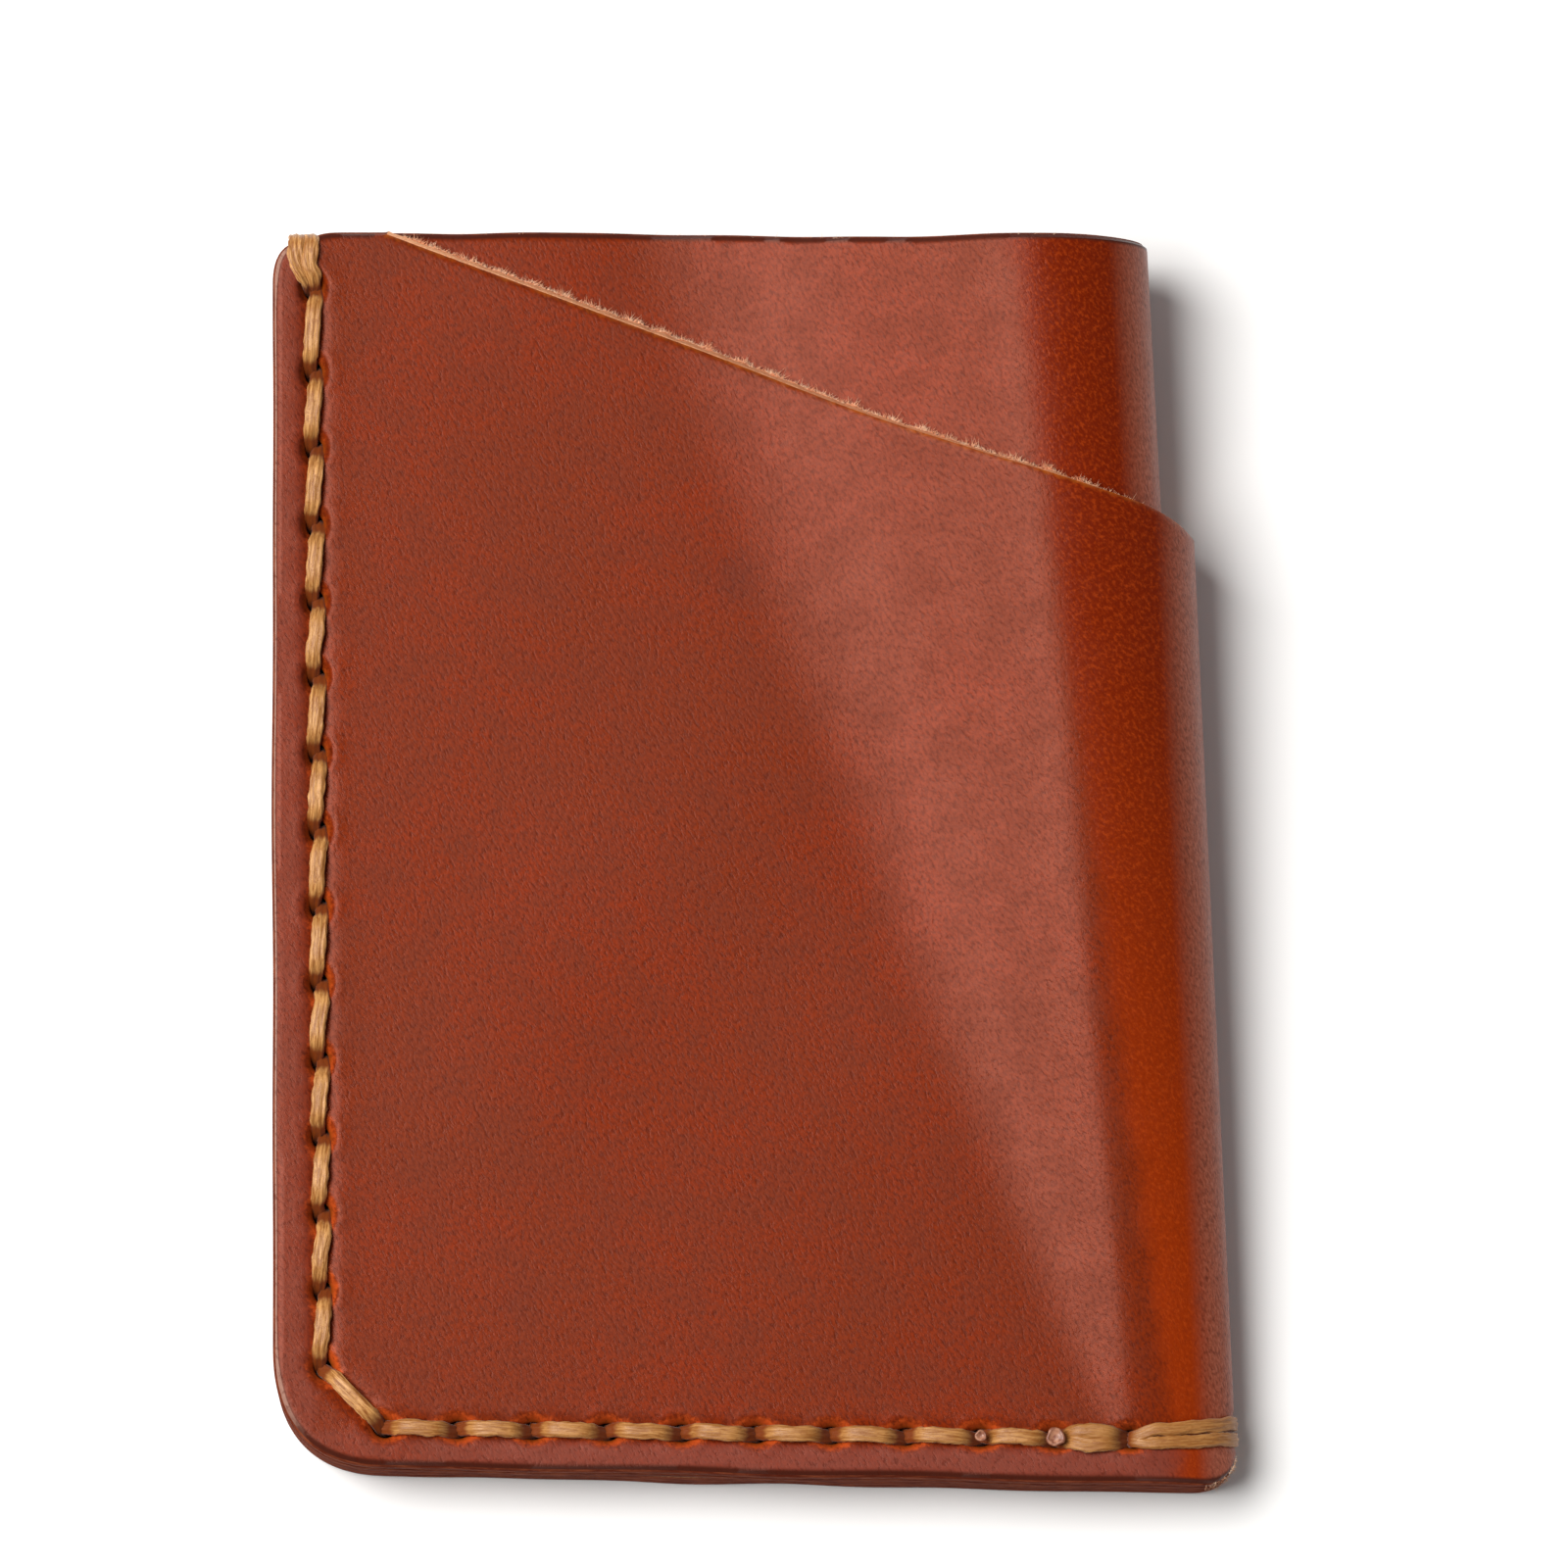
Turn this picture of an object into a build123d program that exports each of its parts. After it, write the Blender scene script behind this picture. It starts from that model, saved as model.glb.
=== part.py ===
from build123d import *
from math import atan2, cos, degrees, radians, sin, tan
import os

os.makedirs("parts", exist_ok=True)

# A pocket wallet of two folded leather pieces, one wrapped round the other, saddle-stitched along
# the open side and the foot. It lies on its back: +X is the folded side, +Y the mouth, +Z the front.

# ---- driving dimensions, millimetres and degrees ----
LEATHER = 1.85  # thickness of the leather
PLY_GAP = 0.06  # clear gap between plies where the seam holds them together
WIDTH = 76.4  # sewn edge to the crest of the fold, at the foot
FOOT_Y, MOUTH_Y = -48.37, 50.25  # ends of the sewn edge
FOOT_DROP = 1.27  # slope of the foot, down towards the fold
MOUTH_HEIGHT = 16.5  # height of the gaping mouth beside the fold
MOUTH_FALL = 1.45  # the mouth edge is this much lower there
WRAP_SHORT = 0.25  # the wrap's own mouth edge stands this much below the sleeve's
SEWN_FOOT_RADIUS, SEWN_MOUTH_RADIUS, FOLD_FOOT_RADIUS = 7.6, 3.3, 2.6

# Pairs are values at the foot and at the mouth.
WRAP_REACH = (38.2, 33.9)  # how far the wrap's fold reaches in +X
WRAP_ROUND = (8.0, 11.5)  # length in X of its rounded part
RISE_X = (28.0, -13.0)  # the plies are flat on each other up to here, and part towards the fold
SLEEVE_SIDE_GAP = (PLY_GAP, 0.85)  # clear space between the two folds
SLEEVE_TOP_GAP = (PLY_GAP, 0.10)  # clear space between the two front walls

# Slanted pocket mouth of the wrap
SLASH_START, SLASH_ANGLE = (-29.0, 50.13), 20.6
SLASH_TURN_X = 31.0  # from here the cut curves down over the fold
SLASH_END = (37.0, 21.0)

# Saddle stitching
SIDE_HOLE, SIDE_PITCH, SIDE_STITCHES, SIDE_LEAN = (-35.2, 45.0), 6.13, 14, 0.73
FIRST_EXTRA = 0.64  # the stitch nearest the mouth is this much longer
FOOT_HOLE, FOOT_PITCH, FOOT_STITCHES, FOOT_LEAN = (-29.3, -45.62), 5.90, 10, 0.87
HOLE_DIAMETER, DOUBLED_HOLE_DIAMETER = 2.0, 2.4  # the wider ones take doubled thread
THREAD_WIDTH, STRAND_WIDTH = 1.35, 0.9  # of a single stitch, and of each strand of a doubled one
THREAD_THICK = 0.56
STRAND_OFFSET = 0.475  # of each doubled strand from the seam line
LEG_DEPTH = 1.5  # how deep a stitch's ends go into its holes
LEG_OFFSET = 0.34  # from the middle of a hole to the middle of a stitch's end in it
BEND_RADIUS = 0.45  # of the thread's middle where it turns into a hole
FRONT_GROOVE, BACK_GROOVE = 0.42, 0.68  # depth of the thread's bed
FIT = 0.04  # clear gap between thread and leather
LOOP_NOTCH = 0.62  # how far the corner loop bites into the mouth edge
FOLD_HEADINGS = (5.2, 4.0)  # of the two strands that run from the last hole round the fold
BEAD_DIAMETERS, BEAD_HEIGHT = (1.5, 0.9), 0.5  # the melted thread ends

# ---- worked out from the above ----
STACK = 4 * LEATHER + 3 * PLY_GAP
EDGE_X = -WIDTH / 2
LOFT_Y = 53  # plies are lofted this far either side of the middle, then trimmed
BACK_PROUD = 0.1  # and with their back this much proud, which the trim makes a true flat
FRONT_RUN = STACK - FRONT_GROOVE + FIT + THREAD_THICK / 2  # height of the thread's middle
BACK_RUN = BACK_GROOVE - FIT - THREAD_THICK / 2


def at_section(foot_value, mouth_value, y):
    """Value at y of something that changes evenly from the foot to the mouth."""
    return foot_value + (mouth_value - foot_value) * (y - FOOT_Y) / (MOUTH_Y - FOOT_Y)


def row(start, pitch, count, heading):
    """Hole positions along a straight seam."""
    step = Vector(pitch * cos(radians(heading)), pitch * sin(radians(heading)))
    return [Vector(*start) + step * i for i in range(count + 1)]


SIDE_HOLES = row(SIDE_HOLE, SIDE_PITCH, SIDE_STITCHES, -90 + SIDE_LEAN)
FOOT_HOLES = row(FOOT_HOLE, FOOT_PITCH, FOOT_STITCHES, -FOOT_LEAN)
SIDE_HOLES[0] += Vector(0, FIRST_EXTRA)
SINGLE_HOLES = SIDE_HOLES[1:] + FOOT_HOLES[:-2]
DOUBLED_HOLES = [SIDE_HOLES[0]] + FOOT_HOLES[-2:]
SIDE_SPANS = list(zip(SIDE_HOLES, SIDE_HOLES[1:]))
CORNER_SPAN = (SIDE_HOLES[-1], FOOT_HOLES[0])
FOOT_SPANS = list(zip(FOOT_HOLES[:-2], FOOT_HOLES[1:-1]))
DOUBLED_SPAN = (FOOT_HOLES[-2], FOOT_HOLES[-1])
LOOP_REACH = MOUTH_Y - LOOP_NOTCH


# ---- leather ----
def face_profile(y, depth, side_gap, top_gap):
    """One face of a ply, depth under the wrap's outside: back wall, fold, front wall."""
    reach = at_section(WRAP_REACH[0] - side_gap[0], WRAP_REACH[1] - side_gap[1], y) - depth
    crest_x = at_section(WRAP_REACH[0] - WRAP_ROUND[0], WRAP_REACH[1] - WRAP_ROUND[1], y)
    rise_x = at_section(*RISE_X, y)
    low = depth + top_gap[0] if depth else -BACK_PROUD
    seam_z = STACK - depth - top_gap[0]
    high = max(at_section(STACK - top_gap[0], MOUTH_HEIGHT - top_gap[1], y) - depth, seam_z)
    middle, half = (high + low) / 2, (high - low) / 2
    Line((EDGE_X, low), (crest_x, low))
    EllipticalCenterArc((crest_x, middle), reach - crest_x, half, -90, arc_size=180)
    Spline((crest_x, high), (rise_x, seam_z), tangents=((-1, 0), (-1, 0)))
    Line((rise_x, seam_z), (EDGE_X, seam_z))
    return low, seam_z


def ply(depth, side_gap, top_gap):
    """A folded sheet between its section beyond the foot and the one beyond the mouth."""
    sections = []
    for y in (-LOFT_Y, LOFT_Y):
        with BuildSketch(Plane.XZ.offset(-y)) as section:
            with BuildLine():
                out_low, out_seam = face_profile(y, depth, side_gap, top_gap)
                in_low, in_seam = face_profile(y, depth + LEATHER, side_gap, top_gap)
                Line((EDGE_X, out_low), (EDGE_X, in_low))
                Line((EDGE_X, in_seam), (EDGE_X, out_seam))
            make_face()
        sections.append(section.sketch)
    loft(sections, ruled=True)


def trim_to_plan(short):
    """Cuts a ply to its outline seen from the front."""
    foot_end = FOOT_Y - WIDTH * tan(radians(FOOT_DROP))
    mouth = MOUTH_Y - short
    level = (RISE_X[1], mouth)
    fallen = (WRAP_REACH[1] - WRAP_ROUND[1], mouth - MOUTH_FALL)
    with BuildSketch(Plane.XY) as plan:
        with BuildLine():
            Spline(level, fallen, tangents=((1, 0), (1, 0)))
            Polyline(fallen, (-EDGE_X, fallen[1]), (-EDGE_X, foot_end), (EDGE_X, FOOT_Y))
            Polyline((EDGE_X, FOOT_Y), (EDGE_X, mouth), level)
        make_face()
        fillet(plan.vertices().group_by(Axis.X)[0].sort_by(Axis.Y)[0], SEWN_FOOT_RADIUS)
        fillet(plan.vertices().group_by(Axis.X)[0].sort_by(Axis.Y)[-1], SEWN_MOUTH_RADIUS)
        fillet(plan.vertices().group_by(Axis.X)[-1].sort_by(Axis.Y)[0], FOLD_FOOT_RADIUS)
    extrude(plan.sketch, amount=MOUTH_HEIGHT + 5, mode=Mode.INTERSECT)


def cut_slash():
    """Cuts the slanted pocket mouth through both walls of the wrap."""
    fall = tan(radians(SLASH_ANGLE))
    start = SLASH_START
    turn = (SLASH_TURN_X, start[1] - (SLASH_TURN_X - start[0]) * fall)
    above = MOUTH_Y + 5
    with BuildSketch(Plane.XY.offset(-1)) as removed:
        with BuildLine():
            Line(start, turn)
            Spline(turn, SLASH_END, tangents=((1, -fall), (0, -1)))
            Polyline(SLASH_END, (-EDGE_X + 5, SLASH_END[1]), (-EDGE_X + 5, above))
            Polyline((-EDGE_X + 5, above), (start[0], above), start)
        make_face()
    extrude(removed.sketch, amount=MOUTH_HEIGHT + 5, mode=Mode.SUBTRACT)


def bed(span, width):
    """Slot from hole to hole, seen from the front."""
    start, end = span
    turn = degrees(atan2(end.Y - start.Y, end.X - start.X))
    with Locations(Location((start + end) / 2, (0, 0, turn))):
        SlotCenterToCenter((end - start).length, width)


def thread_beds():
    """Shallow grooves under the stitches, on the front and deeper on the back."""
    for z, amount in ((STACK - FRONT_GROOVE, 4), (BACK_GROOVE, -4)):
        with BuildSketch(Plane.XY.offset(z)) as beds:
            bed((SIDE_HOLES[0], SIDE_HOLES[-1]), THREAD_WIDTH + 0.25)
            bed(CORNER_SPAN, THREAD_WIDTH + 0.15)
            bed((FOOT_HOLES[0], FOOT_HOLES[-2]), THREAD_WIDTH + 0.25)
            bed(DOUBLED_SPAN, 2 * STRAND_OFFSET + STRAND_WIDTH + 0.25)
        extrude(beds.sketch, amount=amount, mode=Mode.SUBTRACT)


def stitch_holes():
    """Holes through the whole stack."""
    with BuildSketch(Plane.XY.offset(-1)) as holes:
        with Locations(*SINGLE_HOLES):
            Circle(HOLE_DIAMETER / 2)
        with Locations(*DOUBLED_HOLES):
            Circle(DOUBLED_HOLE_DIAMETER / 2)
    extrude(holes.sketch, amount=STACK + 4, mode=Mode.SUBTRACT)


# ---- thread ----
def upright(start, direction, side=0):
    """Plane standing on the line from start along direction, moved to the line's left by side."""
    across = Vector(-direction.Y, direction.X)
    return Plane(origin=start + across * side, x_dir=direction, z_dir=-across)


def stitch(span, run_z, width, side=0):
    """A flat stitch between two holes, its ends bent down (or up) into them."""
    start, end = span
    direction = (end - start).normalized()
    length = (end - start).length
    inward = -1 if run_z > STACK / 2 else 1
    leg_z = STACK - LEG_DEPTH if run_z > STACK / 2 else LEG_DEPTH
    with BuildLine(upright(start, direction, side)) as path:
        FilletPolyline(
            (LEG_OFFSET, leg_z),
            (LEG_OFFSET, run_z),
            (length - LEG_OFFSET, run_z),
            (length - LEG_OFFSET, leg_z),
            radius=BEND_RADIUS,
        )
    foot = Plane(origin=path.line @ 0, x_dir=direction, z_dir=(0, 0, -inward))
    with BuildSketch(foot) as section:
        RectangleRounded(THREAD_THICK, width, THREAD_THICK * 0.4)
    return section.sketch, path.line


def loop_section(plane, reach, rounding, grow_in, grow_out):
    """Ring round the plies from a hole to an edge, as a section in an upright plane."""
    near, far = LEG_OFFSET + THREAD_THICK / 2, reach - rounding
    low, high = BACK_RUN + THREAD_THICK / 2, FRONT_RUN - THREAD_THICK / 2
    with BuildSketch(plane) as ring:
        for grow, mode in ((grow_out, Mode.ADD), (grow_in, Mode.SUBTRACT)):
            with BuildLine():
                Polyline((far, low - grow), (near - grow, low - grow), (near - grow, high + grow))
                Line((near - grow, high + grow), (far, high + grow))
                half = (high - low) / 2 + grow
                EllipticalCenterArc((far, (low + high) / 2), rounding + grow, half, -90, arc_size=180)
            make_face(mode=mode)
    return ring.sketch


def stitches(spans, run_z):
    for span in spans:
        section, path = stitch(span, run_z, THREAD_WIDTH)
        sweep(section, path)


def doubled_stitch(run_z):
    for side in (-STRAND_OFFSET, STRAND_OFFSET):
        section, path = stitch(DOUBLED_SPAN, run_z, STRAND_WIDTH, side)
        sweep(section, path)


def corner_stitch(run_z):
    """The slanting stitch round the foot corner, mitred against its neighbours in the holes."""
    section, path = stitch(CORNER_SPAN, run_z, THREAD_WIDTH)
    sweep(section, path)
    neighbours = ((SIDE_HOLES[-1], SIDE_HOLES[-2]), (FOOT_HOLES[0], FOOT_HOLES[1]))
    for hole, beyond in neighbours:
        direction = (beyond - hole).normalized()
        with BuildSketch(Plane(origin=hole, x_dir=direction, z_dir=(0, 0, 1))) as taken:
            with Locations((LEG_OFFSET + 1, 0)):
                Rectangle(THREAD_THICK + 2 * FIT + 2, THREAD_WIDTH + 2 * FIT)
        extrude(taken.sketch, amount=STACK + 2, both=True, mode=Mode.SUBTRACT)


def mouth_loop(grow_in, grow_out, spare):
    """Two strands from the first hole over the mouth edge."""
    up = Vector(0, 1)
    reach = LOOP_REACH - SIDE_HOLES[0].Y
    for side in (-STRAND_OFFSET, STRAND_OFFSET):
        plane = upright(SIDE_HOLES[0], up, side)
        extrude(
            loop_section(plane, reach, 0.5, grow_in, grow_out),
            amount=STRAND_WIDTH / 2 + spare,
            both=True,
            mode=Mode.SUBTRACT if spare else Mode.ADD,
        )


def fold_loops(grow_in, grow_out, spare):
    """Two strands from the last hole round the folded edge."""
    hole = FOOT_HOLES[-1]
    reach = at_section(*WRAP_REACH, hole.Y) - hole.X - FRONT_GROOVE + FIT
    rounding = reach - LEG_OFFSET - THREAD_THICK
    for side, heading in zip((STRAND_OFFSET, -STRAND_OFFSET), FOLD_HEADINGS):
        direction = Vector(cos(radians(heading)), sin(radians(heading)))
        extrude(
            loop_section(upright(hole, direction, side), reach, rounding, grow_in, grow_out),
            amount=STRAND_WIDTH / 2 + spare,
            both=True,
            mode=Mode.SUBTRACT if spare else Mode.ADD,
        )


with BuildPart() as outer_pocket_wrap:
    ply(0, (0, 0), (0, 0))
    thread_beds()
    stitch_holes()
    trim_to_plan(WRAP_SHORT)
    cut_slash()
    mouth_loop(-FIT, THREAD_THICK + 0.3, FIT)
    fold_loops(-FIT, THREAD_THICK + 0.3, FIT)
outer_pocket_wrap.part.label = "outer_pocket_wrap"
export_step(outer_pocket_wrap.part, "parts/outer_pocket_wrap.step")

with BuildPart() as inner_sleeve:
    ply(LEATHER, SLEEVE_SIDE_GAP, SLEEVE_TOP_GAP)
    stitch_holes()
    trim_to_plan(0)
    mouth_loop(-FIT, THREAD_THICK + 0.3, FIT)
inner_sleeve.part.label = "inner_sleeve"
export_step(inner_sleeve.part, "parts/inner_sleeve.step")

with BuildPart() as side_seam_front_stitches:
    stitches(SIDE_SPANS, FRONT_RUN)
side_seam_front_stitches.part.label = "side_seam_front_stitches"
export_step(side_seam_front_stitches.part, "parts/side_seam_front_stitches.step")

with BuildPart() as side_seam_back_stitches:
    stitches(SIDE_SPANS, BACK_RUN)
side_seam_back_stitches.part.label = "side_seam_back_stitches"
export_step(side_seam_back_stitches.part, "parts/side_seam_back_stitches.step")

with BuildPart() as foot_corner_stitches:
    corner_stitch(FRONT_RUN)
    corner_stitch(BACK_RUN)
foot_corner_stitches.part.label = "foot_corner_stitches"
export_step(foot_corner_stitches.part, "parts/foot_corner_stitches.step")

with BuildPart() as foot_seam_front_stitches:
    stitches(FOOT_SPANS, FRONT_RUN)
foot_seam_front_stitches.part.label = "foot_seam_front_stitches"
export_step(foot_seam_front_stitches.part, "parts/foot_seam_front_stitches.step")

with BuildPart() as foot_seam_back_stitches:
    stitches(FOOT_SPANS, BACK_RUN)
foot_seam_back_stitches.part.label = "foot_seam_back_stitches"
export_step(foot_seam_back_stitches.part, "parts/foot_seam_back_stitches.step")

with BuildPart() as doubled_end_stitches:
    doubled_stitch(FRONT_RUN)
    doubled_stitch(BACK_RUN)
doubled_end_stitches.part.label = "doubled_end_stitches"
export_step(doubled_end_stitches.part, "parts/doubled_end_stitches.step")

with BuildPart() as mouth_corner_loop:
    mouth_loop(0, THREAD_THICK, 0)
mouth_corner_loop.part.label = "mouth_corner_loop"
export_step(mouth_corner_loop.part, "parts/mouth_corner_loop.step")

with BuildPart() as fold_edge_loops:
    fold_loops(0, THREAD_THICK, 0)
fold_edge_loops.part.label = "fold_edge_loops"
export_step(fold_edge_loops.part, "parts/fold_edge_loops.step")

with BuildPart() as seam_hole_threads:
    with BuildSketch(Plane.XY.offset(LEG_DEPTH + FIT)):
        with Locations(*SINGLE_HOLES, FOOT_HOLES[-2]):
            Circle(HOLE_DIAMETER / 2 - 2 * FIT)
    extrude(amount=STACK - 2 * (LEG_DEPTH + FIT))
seam_hole_threads.part.label = "seam_hole_threads"
export_step(seam_hole_threads.part, "parts/seam_hole_threads.step")

with BuildPart() as thread_end_beads:
    for hole, diameter in zip((FOOT_HOLES[-2], FOOT_HOLES[-3]), BEAD_DIAMETERS):
        with BuildSketch(Plane.XY.offset(FRONT_RUN + THREAD_THICK / 2 + FIT / 2)):
            with Locations(hole):
                Circle(diameter / 2)
        extrude(amount=BEAD_HEIGHT)
    fillet(thread_end_beads.edges().group_by(Axis.Z)[-1], BEAD_HEIGHT * 0.4)
thread_end_beads.part.label = "thread_end_beads"
export_step(thread_end_beads.part, "parts/thread_end_beads.step")
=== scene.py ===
from math import cos, pi, radians, sin, tan

import bmesh
import bpy
import numpy as np
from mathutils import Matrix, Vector, geometry


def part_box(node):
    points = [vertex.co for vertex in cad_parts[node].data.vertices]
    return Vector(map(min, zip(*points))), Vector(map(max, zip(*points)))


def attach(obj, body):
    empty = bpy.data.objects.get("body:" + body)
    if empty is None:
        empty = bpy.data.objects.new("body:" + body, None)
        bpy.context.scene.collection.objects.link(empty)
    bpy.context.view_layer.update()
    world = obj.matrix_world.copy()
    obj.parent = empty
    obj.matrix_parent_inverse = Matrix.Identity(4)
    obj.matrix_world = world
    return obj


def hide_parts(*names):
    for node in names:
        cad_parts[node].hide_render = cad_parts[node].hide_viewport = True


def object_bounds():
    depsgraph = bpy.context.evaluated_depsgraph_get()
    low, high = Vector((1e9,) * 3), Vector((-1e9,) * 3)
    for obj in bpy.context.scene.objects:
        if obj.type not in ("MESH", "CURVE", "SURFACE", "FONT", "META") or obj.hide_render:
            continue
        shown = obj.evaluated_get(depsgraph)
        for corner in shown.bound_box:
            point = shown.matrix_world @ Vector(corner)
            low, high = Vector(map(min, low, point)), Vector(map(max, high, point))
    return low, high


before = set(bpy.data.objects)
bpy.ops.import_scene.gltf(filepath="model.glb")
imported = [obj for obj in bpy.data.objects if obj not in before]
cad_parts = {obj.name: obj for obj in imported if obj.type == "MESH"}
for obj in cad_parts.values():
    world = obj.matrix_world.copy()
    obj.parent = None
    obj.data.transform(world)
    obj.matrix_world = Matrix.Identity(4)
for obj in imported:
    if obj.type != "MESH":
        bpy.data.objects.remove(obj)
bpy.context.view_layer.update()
MM = 0.001

# Everything below is worked out in millimetres. +X is the folded side, +Y the mouth, +Z the front.

# ---- leather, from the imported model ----
WRAP_LOW, WRAP_HIGH = (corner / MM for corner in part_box("outer_pocket_wrap"))
EDGE_X, FOLD_X = WRAP_LOW.x, WRAP_HIGH.x  # sewn edge, and crest of the fold at the foot
LEATHER, PLY_GAP = 1.85, 0.06
STACK = 4 * LEATHER + 3 * PLY_GAP
FOOT_Y, MOUTH_Y = -48.37, 50.25
FOOT_DROP = 1.27
MOUTH_FALL = 1.45  # the mouth edge is this much lower at the fold, where the wall leans back
MOUTH_HEIGHT = 16.5
SEAM_X = EDGE_X + 5.4
REACH = (FOLD_X, FOLD_X - 4.3)  # pairs are values at the foot and at the mouth
CREST_X = (REACH[0] - 8.0, REACH[1] - 11.5)  # the fold's round part begins here
SLEEVE_SIDE_GAP, SLEEVE_TOP_GAP = (PLY_GAP, 0.85), (PLY_GAP, 0.10)
SLASH_START_X, SLASH_Y, SLASH_TURN_X, SLASH_ANGLE, SLASH_END = -29.0, 50.13, 31.0, 20.6, (37.0, 21.0)
SLASH_SAG = (0.30, 0.95)  # the cut dips this much at its start, and where the wall stands up
RISE_X = (28.0, -11.0)  # the front wall starts to rise here, and is up at the crest of the fold
RISE_BOW = -6.0  # four times the bow of the line where it starts; below zero is away from the fold
RISE_SOFT = (0.55, 0.14)  # shares of the rise in which its slope grows and fades
MOUTH_FALL_X = -13.0  # the mouth edge starts to fall here
HALF_FOLD = 12.5  # half of the fold's length round its curve
FLAT = 64.5  # from the fold to the sewn edge

BAND_X = (33.2, 19.9)  # where the darker band along the fold begins: partly oil darkening of the bent leather, partly painted shade
CORNER_ARC = 1.17  # a curve this much longer than a corner's radius looks like its arc
FOOT_CORNER, MOUTH_CORNER, FOLD_CORNER = (radius * CORNER_ARC for radius in (7.6, 3.3, 2.6))

# ---- seam ----
SIDE_HOLE, SIDE_PITCH, SIDE_STITCHES, SIDE_LEAN = (-35.2, 45.0), 6.13, 14, 0.73
FIRST_EXTRA = 0.64  # the stitch nearest the mouth is this much longer
FOOT_HOLE, FOOT_PITCH, FOOT_STITCHES, FOOT_LEAN = (-29.3, -45.62), 5.90, 10, 0.87
FOLD_HEADINGS = (5.2, 4.0)
HOLE_SIZE = (0.72, 0.92)  # half widths of a hole across and along the seam, at its throat
RING_SCALES = (1.18, 1.36, 1.56, 1.8, 2.1)
RING_POINTS = 18
GRAIN, EDGE, CUT, FLESH = range(4)  # the materials of a sheet, in this order
FINE, MEDIUM, COARSE = 0.32, 0.64, 1.28  # mesh sizes of an outer face
OUTLINE_STEP = 0.4
EDGE_SWELL, CUT_BEVEL = 0.20, 0.56  # how far out a burnished edge and the raw cut go
FRONT_VALLEY, BACK_VALLEY = 0.34, 0.60  # how far the thread has pulled the leather in
THREAD_WIDTH, THREAD_THICK = 1.26, 0.56
STITCH_SINK, STITCH_POINTS = 2.4, 44  # how deep a stitch goes in its holes, and points along it


def at_section(pair, y):
    """Value at y of something that changes evenly from the foot to the mouth."""
    return pair[0] + (pair[1] - pair[0]) * (y - FOOT_Y) / (MOUTH_Y - FOOT_Y)


def smooth(x, low, high):
    """0 below low, 1 above high, and a soft step between them."""
    t = np.clip((x - low) / (high - low), 0, 1)
    return t * t * (3 - 2 * t)


def rise_share(x, start, crest):
    """How far the front wall has risen at x: an even ramp with a soft start and end."""
    s = np.clip((x - start) / (crest - start), 0, 1)
    begin, end = RISE_SOFT
    slope = 1 / (1 - begin / 2 - end / 2)
    ramp = np.where(s < begin, s * s / (2 * begin), s - begin / 2)
    return slope * np.where(s > 1 - end, 1 / slope - (1 - s) ** 2 / (2 * end), ramp)


def rise_start(y):
    """Where the front wall leaves the stack, level by level from the foot to the mouth."""
    share = at_section((0.0, 1.0), y)
    return at_section(RISE_X, y) + RISE_BOW * share * (1 - share)


def bump(distance, width):
    return np.exp(-((distance / width) ** 2))


def wander(t, seed, length):
    """Smooth seeded noise of about unit size, changing over the given length."""
    rng = np.random.default_rng(seed)
    waves = [(length * rng.uniform(0.5, 1.8), rng.uniform(0, 2 * pi)) for _ in range(5)]
    return sum(np.sin(2 * pi * np.asarray(t) / wave + phase) for wave, phase in waves) / 2.4


def row(start, pitch, count, heading):
    step = np.array((cos(radians(heading)), sin(radians(heading)))) * pitch
    return [np.array(start) + step * i for i in range(count + 1)]


# Smudges and specks on the front: position, size and depth of colour.
SMUDGES = ((-1.4, 22.6, 1.9, 0.34), (-11.5, 1.0, 1.3, 0.16), (-19.3, -36.0, 1.2, 0.16))
SMUDGES += ((20.8, -35.2, 0.35, 0.6), (35.2, -35.5, 0.35, 0.6), (-29.3, 20.2, 0.3, 0.4))

SIDE_HOLES = row(SIDE_HOLE, SIDE_PITCH, SIDE_STITCHES, -90 + SIDE_LEAN)
FOOT_HOLES = row(FOOT_HOLE, FOOT_PITCH, FOOT_STITCHES, -FOOT_LEAN)
SIDE_HOLES[0] = SIDE_HOLES[0] + (0, FIRST_EXTRA)
HOLES = SIDE_HOLES + FOOT_HOLES


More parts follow.
